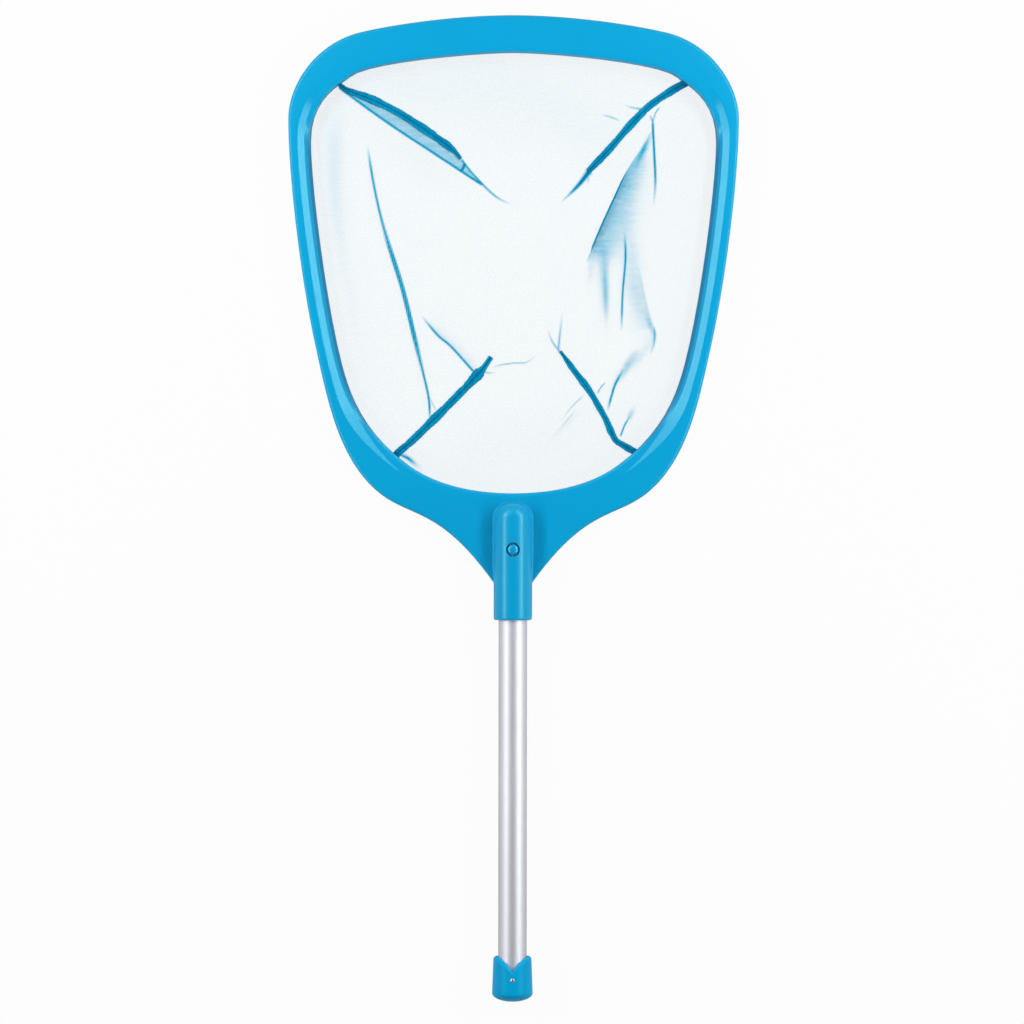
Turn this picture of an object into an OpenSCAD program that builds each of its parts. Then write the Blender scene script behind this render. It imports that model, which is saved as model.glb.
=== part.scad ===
// Pool leaf skimmer: a moulded head with a wide leading lip, a shallow mesh bag gathered by four
// corner seams, and a tubular pole end that a spring button locks into the head's socket.
// It lies on its back: +Z is up, +Y runs from the pole's end cap to the leading lip.

/* [Head] */
// Width of the head across its widest point
head_w = 395; // [380:1:420]
// Length of the head from the socket's mouth to the leading edge
head_l = 530; // [510:1:560]
// Height of the frame moulding
frame_h = 17; // [16:0.5:20]
// Wall thickness of the frame moulding
wall_t = 2.6; // [2.2:0.1:3]
// Width of the leading lip at its middle
lip_w = 32; // [28:1:38]
// Width of the side rails
rail_w = 19.5; // [19:0.5:24]
// Length of the web from the socket's mouth to the mouth of the bag
web_l = 111; // [108:1:120]
// Drop of the bevel along the inside of the side rails
bevel_drop = 7; // [5:0.5:7.5]
// Width of the bevel along the inside of the side rails
bevel_w = 11; // [9:0.5:11.5]
// Rounding of the moulding's upper outer edge
edge_r = 3; // [2:0.25:3.5]

/* [Clamp ring] */
// Thickness of the clamp ring under the frame
ring_t = 2.6; // [2.4:0.1:3]
// Thread diameter of the countersunk clamp screws
screw_d = 3; // [2.5:0.1:3.5]
// Length of the clamp screws
screw_l = 10; // [8:0.5:11]

/* [Bag] */
// Thickness of the folded mesh
mesh_t = 0.5; // [0.4:0.1:0.6]
// Width of the mesh hem held between the frame and the clamp ring
hem_w = 7.4; // [6:0.2:7.6]
// Thickness of the tape sewn on the hem
tape_t = 0.8; // [0.6:0.1:1]
// Diameter of the cord that keys the hem into the frame
cord_d = 2.8; // [2.2:0.2:3]
// Width of an overlocked corner seam
seam_w = 7; // [5:0.5:8]
// Width of the narrow corner seam
seam_narrow_w = 5.2; // [4:0.2:6]
// Thickness of an overlocked corner seam
seam_t = 1.4; // [1:0.1:1.8]

/* [Pole] */
// Outside diameter of the pole
pole_d = 25; // [24:0.5:26]
// Wall thickness of the pole
pole_t = 1.2; // [1:0.1:1.5]
// Length of pole between the socket and the end cap
pole_free = 294; // [250:1:400]
// Depth to which the pole enters the socket
pole_in = 78; // [76:1:79]
// Outside diameter of the socket
socket_d = 33.8; // [33.4:0.2:34.6]
// Clearance around the pole in the socket and the end cap
pole_gap = 0.25; // [0.2:0.05:0.4]

/* [Button] */
// Diameter of the snap button
button_d = 9.5; // [9:0.1:10]
// Distance of the button from the socket's mouth
button_at = 61.7; // [60:0.1:62.5]
// Travel of the button
button_travel = 5; // [4.9:0.1:5.2]
// Diameter of the hole in the socket around the button
window_d = 11.8; // [11.4:0.2:12.4]
// Running clearance around the button
button_gap = 0.1; // [0.06:0.02:0.1]
// Wire diameter of the button's spring
wire_d = 0.8; // [0.6:0.1:0.9]
// Length of the plug that carries the button
plug_l = 30; // [26:1:32]

/* [End cap] */
// Largest diameter of the end cap
cap_d = 35.6; // [35.2:0.2:36.4]
// Diameter of the end cap near its mouth
cap_mouth_d = 33.6; // [33.2:0.2:34.6]
// Length of the end cap
cap_l = 40; // [38:1:44]
// Height of the end cap's domed end
cap_dome = 7.4; // [6:0.2:9]
// Width of the V notch at the end cap's mouth
notch_w = 23.4; // [20:0.2:24]
// Depth of the V notch
notch_l = 12.7; // [10:0.1:14]
// Distance of the rivet from the end of the cap
rivet_at = 19.8; // [18:0.1:22]
// Diameter of the rivet's head
rivet_head_d = 3.9; // [3.5:0.1:4.5]

/* [Hidden] */

blue = [0.00, 0.62, 0.84];
teal = [0.01, 0.45, 0.62];
silver = [0.80, 0.82, 0.85];
mesh = [0.90, 0.94, 0.96];
white = [0.92, 0.92, 0.90];

// The origin is the middle of the footprint, on the surface that the part lies on.
total_l = head_l + pole_free + cap_l;
mouth_y = cap_l + pole_free - total_l / 2;
end_y = -total_l / 2;
pole_z = cap_d / 2;
pole_r = pole_d / 2;
pole_ir = pole_r - pole_t;
button_y = mouth_y + button_at;

// Quarter points of the moulding's outer edge and of the bag's mouth, as cubic curves from the middle
// of the leading lip down the right side, in shares of the half width and of the length.
edge_curves = [
    [[0, 1], [0.341, 1], [0.666, 0.974], [0.704, 0.969]],
    [[0.704, 0.969], [0.895, 0.947], [1, 0.88], [1, 0.829]],
    [[1, 0.829], [1, 0.735], [0.944, 0.565], [0.88, 0.456]],
    [[0.88, 0.456], [0.832, 0.376], [0.79, 0.288], [0.649, 0.229]],
    [[0.649, 0.229], [0.481, 0.16], [0.356, 0.203], [0.085, 0.061]]];
mouth_curves = [
    [[0, 1], [0.177, 1], [0.731, 0.978], [0.809, 0.944]],
    [[0.809, 0.944], [0.845, 0.928], [1, 0.901], [1, 0.798]],
    [[1, 0.798], [1, 0.703], [0.923, 0.429], [0.846, 0.294]],
    [[0.846, 0.294], [0.804, 0.22], [0.737, 0.138], [0.517, 0.064]],
    [[0.517, 0.064], [0.384, 0.019], [0.2, 0], [0, 0]]];
mouth_w = head_w - 2 * rail_w;
mouth_l = head_l - lip_w - web_l;
steps = 10;

function bez(c, t) = pow(1 - t, 3) * c[0] + 3 * pow(1 - t, 2) * t * c[1]
    + 3 * (1 - t) * t * t * c[2] + pow(t, 3) * c[3];
function on_head(p) = [p[0] * head_w / 2, mouth_y + p[1] * head_l];
function in_mouth(p) = [p[0] * mouth_w / 2, mouth_y + web_l + p[1] * mouth_l];
function both_sides(h) = concat(h, [for (i = [len(h) - 2:-1:1]) [-h[i][0], h[i][1]]]);

// The two edges run in step, station by station, so the moulding can be swept between them.
edge_half = concat(
    [for (i = [0:4]) for (j = [0:steps - 1]) on_head(bez(edge_curves[i], j / steps))],
    [on_head(edge_curves[4][3]), on_head([0, edge_curves[4][3][1]])]);
mouth_half = concat(
    [for (i = [0:3]) for (j = [0:steps - 1]) in_mouth(bez(mouth_curves[i], j / steps))],
    [for (j = [0:steps + 1]) in_mouth(bez(mouth_curves[4], j / (steps + 1)))]);
edge = both_sides(edge_half);
mouth = both_sides(mouth_half);
last = len(edge_half) - 1;
count = len(edge);

function along(l, i) = let (a = l[(i + count - 1) % count], b = l[(i + 1) % count]) (b - a) / norm(b - a);
function grown(l, d) = [for (i = [0:count - 1]) let (t = along(l, i)) l[i] + d * [-t[1], t[0]]];
function half_index(i) = i <= last ? i : count - i;

// Share of the bevel at each station: none along the lip and the web, all of it along the rails.
bevel_on = 1.55 * steps;
bevel_full = 2.1 * steps;
bevel_fade = 3.3 * steps;
bevel_off = 4.15 * steps;
function ramp(a, b, x) = let (t = max(0, min(1, (x - a) / (b - a)))) t * t * (3 - 2 * t);
function bevel(i) = let (k = half_index(i)) ramp(bevel_on, bevel_full, k) * (1 - ramp(bevel_fade, bevel_off, k));

// Heights of the layers under the frame: clamp ring, hem of the mesh, tape, cord.
layer_gap = 0.2;
ring_z = 0.4;
ring_top = ring_z + ring_t;
hem_z = ring_top + layer_gap;
lip_z = hem_z + mesh_t + layer_gap;
cord_z = lip_z + tape_t + layer_gap + cord_d / 2;
cord_in = wall_t + 0.3 + cord_d;
ring_w = rail_w - wall_t - 1.6;
boss_r = screw_d / 2 + 1.6;
boss_in = hem_w + boss_r + 0.7;
boss_top = frame_h - wall_t + 0.4;
screw_spots = [for (s = [0.5, 1.4, 2.1, 3, 3.9, 4.6]) round(s * steps)];
screw_sites = [for (s = [0, 1]) for (k = screw_spots) s == 0 ? k : count - k];

// Cross section of the moulding at a station: distance in from the outer edge, height.
function skew(u, v) = max(0.5, abs(u[0] * v[1] - u[1] * v[0]));
function section(i) =
    let (d = mouth[i] - edge[i], w = norm(d), u = d / w, b = bevel(i))
    let (wo = wall_t / skew(u, along(edge, i)), wi = wall_t / skew(u, along(mouth, i)), h = frame_h)
    [for (q = [[0, 0], [0, h - edge_r], [0.3 * edge_r, h - 0.3 * edge_r], [edge_r, h], [w - bevel_w, h],
               [w - 0.43 * bevel_w, h - 0.4 * b * bevel_drop],
               [w - 0.23 * bevel_w, h - edge_r / 10 - 0.65 * b * bevel_drop],
               [w, h - edge_r / 2 - b * bevel_drop], [w, lip_z],
               [w - wi, lip_z], [w - wi, h - wall_t - 0.3 * edge_r - 0.75 * b * bevel_drop],
               [w - bevel_w, h - wall_t],
               [wo, h - wall_t], [wo, 0]])
        [edge[i][0] + u[0] * q[0], edge[i][1] + u[1] * q[0], q[1]]];

// Skin of a closed sweep of rings with m points each.
function skin(n, m) = [for (i = [0:n - 1]) for (j = [0:m - 1])
    let (a = i * m + j, b = ((i + 1) % n) * m + j, c = ((i + 1) % n) * m + (j + 1) % m, d = i * m + (j + 1) % m)
    for (f = [[a, b, c], [a, c, d]]) f];

// Round cord along the mouth, keyed behind the inner wall.
cord_sides = 8;
cord_path = grown(mouth, cord_in);
cord_points = [for (i = [0:count - 1]) let (t = along(cord_path, i)) for (j = [0:cord_sides - 1])
    let (r = cord_d / 2, a = 360 * j / cord_sides)
    [cord_path[i][0] - t[1] * r * cos(a), cord_path[i][1] + t[0] * r * cos(a), cord_z + r * sin(a)]];

// Corner seams, from the frame to the corner of the bag's base, in shares of the mouth.
seam_tl = [[-0.842, 0.921], [-0.567, 0.849], [-0.303, 0.763], [-0.14, 0.694]];
seam_tr = [[0.82, 0.92], [0.696, 0.887], [0.488, 0.787], [0.365, 0.73]];
seam_bl = [[-0.55, 0.098], [-0.399, 0.165], [-0.298, 0.209], [-0.185, 0.266], [-0.107, 0.31]];
seam_br = [[0.578, 0.101], [0.505, 0.126], [0.46, 0.168], [0.371, 0.237], [0.23, 0.322]];
seam_z = hem_z - ring_t + mesh_t + layer_gap;
function strip(l, w) =
    let (p = [for (q = l) in_mouth(q)], n = len(p))
    let (t = [for (i = [0:n - 1]) let (v = p[min(i + 1, n - 1)] - p[max(i - 1, 0)]) v / norm(v)])
    concat([for (i = [0:n - 1]) p[i] + w / 2 * [-t[i][1], t[i][0]]],
           [for (i = [n - 1:-1:0]) p[i] - w / 2 * [-t[i][1], t[i][0]]]);

// Button and spring, as heights above the pole's axis.
flange_r = button_d / 2 + 1.5;
flange_t = 2;
flange_top = sqrt(pow(pole_ir, 2) - pow(flange_r, 2)) - 0.1;
button_top = socket_d / 2 + 0.5;
well_r = flange_r + button_gap;
well_floor = flange_top - flange_t - button_travel - 3.3;
spring_seat = flange_top - flange_t + 5.5;
spring_r = 2.9;
turns = 7;
turn_steps = 12;
wire_sides = 6;
coil_steps = turns * turn_steps;
coil_low = well_floor + 0.05 + wire_d / 2;
coil_high = spring_seat - 0.05 - wire_d / 2;
coil_points = [for (i = [0:coil_steps]) for (j = [0:wire_sides - 1])
    let (a = 360 * i / turn_steps, b = 360 * j / wire_sides, r = spring_r + wire_d / 2 * cos(b))
    [r * cos(a), r * sin(a), coil_low + (coil_high - coil_low) * i / coil_steps + wire_d / 2 * sin(b)]];
coil_faces = concat(
    [[for (j = [0:wire_sides - 1]) j]],
    [for (i = [0:coil_steps - 1]) for (j = [0:wire_sides - 1])
        let (a = i * wire_sides + j, b = i * wire_sides + (j + 1) % wire_sides)
        for (f = [[a, a + wire_sides, b], [b, a + wire_sides, b + wire_sides]]) f],
    [[for (j = [wire_sides - 1:-1:0]) coil_steps * wire_sides + j]]);

// End cap profile and notch.
cap_r = cap_d / 2;
cap_mr = cap_mouth_d / 2;
cap_floor = cap_dome + 0.3;
cap_profile = concat(
    [for (a = [0:10:90]) [cap_r * sin(a), cap_dome * (1 - cos(a))]],
    [[cap_mr, cap_l - 4], [cap_mr - 0.6, cap_l - 1.8], [cap_mr - 1.8, cap_l - 0.5], [cap_mr - 3.1, cap_l], [0, cap_l]]);
notch_side = [for (f = [0:0.125:1]) [notch_w / 2 * pow(1 - f, 1.35), -f * notch_l]];
notch = concat([[notch_w / 2, 1]], notch_side, [for (i = [7:-1:0]) [-notch_side[i][0], notch_side[i][1]]],
               [[-notch_w / 2, 1]]);

// Rivet, as heights above the pole's axis.
rivet_r = rivet_head_d * 0.32;
mandrel_r = rivet_r * 0.5;
rivet_top = cap_r + 0.1;
rivet_seat = cap_r - 0.9;
bulb_r = rivet_r + 0.6;
bulb_top = sqrt(pow(pole_ir, 2) - pow(bulb_r, 2)) - 0.1;
hole_gap = 0.05;

module band(outer, inner, z, t) {
    translate([0, 0, z])
        linear_extrude(height = t)
            difference() {
                polygon(grown(mouth, outer));
                polygon(grown(mouth, inner));
            }
}

module at_screws() {
    inset = grown(mouth, boss_in);
    for (i = screw_sites)
        translate([inset[i][0], inset[i][1], 0])
            children();
}

module along_pole(y) {
    translate([0, y, pole_z])
        rotate([-90, 0, 0])
            children();
}

module rim() {
    polyhedron(points = [for (i = [0:count - 1]) for (p = section(i)) p], faces = skin(count, 14));
}

module web_rib(i) {
    d = mouth[i] - edge[i];
    translate([edge[i][0], edge[i][1], 0])
        rotate([0, 0, atan2(d[1], d[0])])
            translate([wall_t / 2, -wall_t / 2, 1.5])
                cube([norm(d) - rail_w - wall_t / 2, wall_t * 0.8, frame_h - 2.5]);
}

module socket_body() {
    along_pole(mouth_y + 1.6)
        cylinder(r = socket_d / 2, h = pole_in + 7, $fn = 96);
    along_pole(mouth_y)
        cylinder(r1 = socket_d / 2 - 1.4, r2 = socket_d / 2, h = 1.6, $fn = 96);
    translate([0, mouth_y + pole_in + 8.6, pole_z])
        sphere(r = socket_d / 2, $fn = 96);
}

module head_frame() {
    color(blue)
        difference() {
            union() {
                rim();
                socket_body();
                for (i = [round(4.25 * steps), round(4.6 * steps)])
                    for (k = [i, count - i])
                        web_rib(k);
                at_screws()
                    translate([0, 0, ring_top + layer_gap])
                        cylinder(r = boss_r, h = boss_top - ring_top - layer_gap, $fn = 32);
            }
            along_pole(mouth_y - 1)
                cylinder(r = pole_r + pole_gap, h = pole_in + 1.4, $fn = 96);
            along_pole(mouth_y - 0.01)
                cylinder(r1 = pole_r + pole_gap + 0.8, r2 = pole_r + pole_gap, h = 0.8, $fn = 96);
            translate([0, button_y, pole_z])
                cylinder(r = window_d / 2, h = socket_d, $fn = 48);
            at_screws()
                cylinder(r = screw_d / 2 + hole_gap, h = ring_z + screw_l + 1, $fn = 24);
        }
}

module clamp_ring() {
    color(blue)
        difference() {
            band(ring_w, 0, ring_z, ring_t);
            at_screws()
                translate([0, 0, ring_z - 1])
                    cylinder(r = screw_d / 2 + 0.2, h = ring_t + 2, $fn = 24);
            at_screws()
                translate([0, 0, ring_z - 0.01])
                    cylinder(r1 = screw_d * 0.95 + 0.1, r2 = screw_d / 2 + 0.2, h = screw_d * 0.5, $fn = 32);
        }
}

module clamp_screws() {
    color(silver)
        at_screws()
            translate([0, 0, ring_z + 0.05])
                difference() {
                    union() {
                        cylinder(r1 = screw_d * 0.93, r2 = screw_d / 2, h = screw_d * 0.5, $fn = 32);
                        cylinder(r = screw_d / 2, h = screw_l, $fn = 24);
                    }
                    for (a = [0, 90])
                        rotate([0, 0, a])
                            translate([-screw_d * 0.5, -0.3, -0.1])
                                cube([screw_d, 0.6, 1.1]);
                }
}

module hem_tape() {
    color(white)
        band(hem_w, wall_t + 0.3, lip_z, tape_t);
}

module hem_cord() {
    color(white)
        polyhedron(points = cord_points, faces = skin(count, cord_sides));
}

module net_bag() {
    color(mesh)
        union() {
            band(hem_w, -0.4 - mesh_t, hem_z, mesh_t);
            band(-0.4, -0.4 - mesh_t, hem_z - ring_t, ring_t + mesh_t);
            translate([0, 0, hem_z - ring_t])
                linear_extrude(height = mesh_t)
                    polygon(grown(mouth, -0.4));
        }
}

module seam(path, w) {
    translate([0, 0, seam_z])
        linear_extrude(height = seam_t)
            polygon(strip(path, w));
}

module seam_top_left() {
    color(teal)
        seam(seam_tl, seam_w);
}

module seam_top_right() {
    color(teal)
        seam(seam_tr, seam_w);
}

module seam_bottom_left() {
    color(teal)
        seam(seam_bl, seam_w);
}

module seam_bottom_right() {
    color(teal)
        seam(seam_br, seam_narrow_w);
}

module pole_tube() {
    low = end_y + cap_floor + 0.1;
    long = mouth_y + pole_in - low;
    color(silver)
        difference() {
            along_pole(low)
                cylinder(r = pole_r, h = long, $fn = 96);
            along_pole(low - 1)
                cylinder(r = pole_ir, h = long + 2, $fn = 96);
            translate([0, button_y, pole_z])
                cylinder(r = button_d / 2 + button_gap, h = pole_d, $fn = 48);
            translate([0, end_y + rivet_at, pole_z])
                cylinder(r = rivet_r + hole_gap, h = pole_d, $fn = 24);
        }
}

module button_plug() {
    color(white)
        difference() {
            union() {
                along_pole(button_y - plug_l / 2)
                    cylinder(r1 = pole_ir - 1, r2 = pole_ir - hole_gap, h = 1, $fn = 96);
                along_pole(button_y - plug_l / 2 + 1)
                    cylinder(r = pole_ir - hole_gap, h = plug_l - 2, $fn = 96);
                along_pole(button_y + plug_l / 2 - 1)
                    cylinder(r1 = pole_ir - hole_gap, r2 = pole_ir - 1, h = 1, $fn = 96);
            }
            translate([0, button_y, pole_z + well_floor])
                cylinder(r = well_r, h = pole_d, $fn = 48);
        }
}

module snap_button() {
    color(blue)
        translate([0, button_y, pole_z])
            difference() {
                union() {
                    translate([0, 0, flange_top - flange_t])
                        cylinder(r = flange_r, h = flange_t, $fn = 48);
                    translate([0, 0, flange_top - flange_t])
                        cylinder(r = button_d / 2, h = button_top - 0.6 - flange_top + flange_t, $fn = 48);
                    translate([0, 0, button_top - 0.6])
                        cylinder(r1 = button_d / 2, r2 = button_d / 2 - 0.6, h = 0.6, $fn = 48);
                }
                translate([0, 0, flange_top - flange_t - 1])
                    cylinder(r = spring_r + wire_d, h = spring_seat - flange_top + flange_t + 1, $fn = 32);
            }
}

module button_spring() {
    color(silver)
        translate([0, button_y, pole_z])
            polyhedron(points = coil_points, faces = coil_faces);
}

module end_cap() {
    color(blue)
        difference() {
            along_pole(end_y)
                rotate_extrude($fn = 96)
                    polygon(cap_profile);
            along_pole(end_y + cap_floor)
                cylinder(r = pole_r + pole_gap, h = cap_l, $fn = 96);
            translate([0, end_y + cap_l, pole_z - cap_d])
                linear_extrude(height = 2 * cap_d)
                    polygon(notch);
            translate([0, end_y + rivet_at, pole_z])
                cylinder(r = rivet_r + hole_gap, h = cap_d, $fn = 24);
            translate([0, end_y + rivet_at, pole_z + rivet_seat])
                cylinder(r = rivet_head_d / 2 + 0.15, h = cap_d, $fn = 32);
        }
}

module cap_rivet() {
    color(silver)
        translate([0, end_y + rivet_at, pole_z])
            difference() {
                union() {
                    translate([0, 0, rivet_seat + hole_gap])
                        cylinder(r = rivet_head_d / 2, h = 0.5, $fn = 32);
                    translate([0, 0, rivet_seat + hole_gap + 0.5])
                        cylinder(r1 = rivet_head_d / 2, r2 = rivet_head_d / 3, h = 0.5, $fn = 32);
                    translate([0, 0, bulb_top - 1.6])
                        cylinder(r = rivet_r, h = rivet_seat + 0.2 - bulb_top + 1.6, $fn = 24);
                    translate([0, 0, bulb_top - 1.6])
                        cylinder(r = bulb_r, h = 1.6, $fn = 24);
                }
                translate([0, 0, bulb_top - 3])
                    cylinder(r = mandrel_r + hole_gap, h = cap_r, $fn = 24);
            }
}

module rivet_mandrel() {
    color(silver)
        translate([0, end_y + rivet_at, pole_z]) {
            translate([0, 0, bulb_top - 1.8])
                cylinder(r = mandrel_r, h = rivet_top - bulb_top + 1.6, $fn = 24);
            translate([0, 0, bulb_top - 2.6])
                cylinder(r = rivet_r, h = 0.9, $fn = 24);
        }
}

head_frame();
clamp_ring();
clamp_screws();
hem_tape();
hem_cord();
net_bag();
seam_top_left();
seam_top_right();
seam_bottom_left();
seam_bottom_right();
pole_tube();
button_plug();
snap_button();
button_spring();
end_cap();
cap_rivet();
rivet_mandrel();
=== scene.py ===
"""Visual model of a pool leaf skimmer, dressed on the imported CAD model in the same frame.

Lengths in the classes below are millimetres, as in the CAD source, and Draft turns them into
metres. +Y runs from the end cap to the leading lip, +X to the right and +Z up.
"""

import logging
import math
from dataclasses import dataclass
from enum import Enum

import bmesh
import bpy
import numpy as np
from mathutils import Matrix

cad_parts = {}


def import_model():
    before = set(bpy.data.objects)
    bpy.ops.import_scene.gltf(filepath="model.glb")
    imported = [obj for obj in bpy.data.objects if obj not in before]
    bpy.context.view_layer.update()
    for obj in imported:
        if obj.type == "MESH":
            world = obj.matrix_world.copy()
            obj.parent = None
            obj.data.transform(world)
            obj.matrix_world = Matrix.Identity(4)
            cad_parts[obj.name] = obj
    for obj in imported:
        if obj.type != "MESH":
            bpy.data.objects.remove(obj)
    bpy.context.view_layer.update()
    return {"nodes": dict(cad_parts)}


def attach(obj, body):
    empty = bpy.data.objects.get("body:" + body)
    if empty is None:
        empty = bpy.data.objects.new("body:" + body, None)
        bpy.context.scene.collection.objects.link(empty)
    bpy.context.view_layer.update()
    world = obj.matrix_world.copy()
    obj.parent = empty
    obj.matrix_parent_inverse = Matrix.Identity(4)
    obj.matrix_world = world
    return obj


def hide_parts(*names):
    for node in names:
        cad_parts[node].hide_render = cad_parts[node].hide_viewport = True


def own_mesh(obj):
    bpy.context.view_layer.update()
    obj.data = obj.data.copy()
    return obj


LOG = logging.getLogger("skimmer")
MM = 0.001
Value = bpy.types.NodeSocket | float | None


class Slot(Enum):
    """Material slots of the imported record."""

    FRAME = "frame_blue"
    CAP = "cap_blue"
    BUTTON = "button_blue"
    STEEL = "steel"
    POLE = "pole_aluminium"
    PLUG = "plug_white"
    MESH = "mesh"
    SEAM = "seam_thread"
    TAPE = "tape"


class Body(Enum):
    """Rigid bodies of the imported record."""

    SKIMMER = "skimmer"
    BUTTON = "button"


def ramp(low: float, high: float, x: "float | np.ndarray") -> np.ndarray:
    """Smooth step from 0 to 1.

    Args:
        low: Where the step starts.
        high: Where the step ends.
        x: Value or array of values.

    Returns:
        The share of the step at x.
    """
    t = np.clip((np.asarray(x, float) - low) / (high - low), 0.0, 1.0)
    return t * t * (3 - 2 * t)


def bezier(c: list, t: float) -> np.ndarray:
    """Point of a cubic curve.

    Args:
        c: Four control points.
        t: Place along the curve, from 0 to 1.

    Returns:
        The point as an array of two numbers.
    """
    p = np.asarray(c, float)
    return (1 - t) ** 3 * p[0] + 3 * (1 - t) ** 2 * t * p[1] + 3 * (1 - t) * t * t * p[2] + t ** 3 * p[3]


def spline(points: list, step: float) -> np.ndarray:
    """Smooth path through points, made of cubic pieces.

    Args:
        points: Points of two or three numbers.
        step: Distance between the samples.

    Returns:
        Array of samples at even distances.
    """
    p = np.asarray(points, float)
    p = np.vstack([2 * p[0] - p[1], p, 2 * p[-1] - p[-2]])
    fine = []
    for i in range(1, len(p) - 2):
        for t in np.linspace(0, 1, 24, endpoint=False):
            a = 2 * p[i]
            b = p[i + 1] - p[i - 1]
            c = 2 * p[i - 1] - 5 * p[i] + 4 * p[i + 1] - p[i + 2]
            d = -p[i - 1] + 3 * p[i] - 3 * p[i + 1] + p[i + 2]
            fine.append(0.5 * (a + b * t + c * t * t + d * t ** 3))
    fine.append(p[-2])
    fine = np.array(fine)
    run = np.concatenate([[0], np.cumsum(np.linalg.norm(np.diff(fine, axis=0), axis=1))])
    count = max(2, int(round(run[-1] / step)) + 1)
    at = np.linspace(0, run[-1], count)
    return np.stack([np.interp(at, run, fine[:, k]) for k in range(p.shape[1])], axis=1)


def rounded(corners: list) -> list:
    """Rounds the corners of an open profile and adds support points, so flat parts stay flat.

    Args:
        corners: Tuples of two coordinates and a radius, where 0 keeps the corner.

    Returns:
        Points of two numbers, as many for each corner with a radius whatever its size.
    """
    made = []
    p = np.asarray([c[:2] for c in corners], float)
    for i, (a, b, r) in enumerate(corners):
        if r <= 0 or i in (0, len(corners) - 1):
            made.append((a, b))
            continue
        back = p[i - 1] - p[i]
        ahead = p[i + 1] - p[i]
        lb = max(float(np.hypot(*back)), 1e-6)
        la = max(float(np.hypot(*ahead)), 1e-6)
        rb = min(r, 0.42 * lb)
        ra = min(r, 0.42 * la)
        start = p[i] + back / lb * rb
        end = p[i] + ahead / la * ra
        made.append(tuple(start + back / lb * min(0.3, 0.06 * lb)))
        for t in (0.0, 0.25, 0.5, 0.75, 1.0):
            made.append(tuple((1 - t) ** 2 * start + 2 * t * (1 - t) * p[i] + t * t * end))
        made.append(tuple(end + ahead / la * min(0.3, 0.06 * la)))
    return made


def tangents(path: np.ndarray, closed: bool = False) -> np.ndarray:
    """Unit tangents of a path.

    Args:
        path: Array of points.
        closed: Whether the last point joins the first.

    Returns:
        Array of unit vectors.
    """
    if closed:
        d = np.roll(path, -1, axis=0) - np.roll(path, 1, axis=0)
    else:
        d = np.gradient(path, axis=0)
    return d / np.maximum(np.linalg.norm(d, axis=1, keepdims=True), 1e-9)


def to_lines(points: np.ndarray, path: np.ndarray) -> tuple:
    """Nearest place on a path for each of many points.

    Args:
        points: Array of points, two numbers each.
        path: Array of path points, two numbers each.

    Returns:
        Signed distance to the left of the path, and share of the path's length.
    """
    best = np.full(len(points), 1e9)
    side = np.zeros(len(points))
    share = np.zeros(len(points))
    run = np.concatenate([[0], np.cumsum(np.linalg.norm(np.diff(path, axis=0), axis=1))])
    for i in range(len(path) - 1):
        a = path[i]
        d = path[i + 1] - a
        length = max(float(np.hypot(*d)), 1e-9)
        u = d / length
        v = points - a
        t = np.clip(v @ u, 0, length)
        off = v - t[:, None] * u
        dist = np.hypot(off[:, 0], off[:, 1])
        near = dist < best
        best[near] = dist[near]
        side[near] = np.sign(u[0] * v[near, 1] - u[1] * v[near, 0]) * dist[near]
        share[near] = (run[i] + t[near]) / run[-1]
    return side, share


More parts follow.
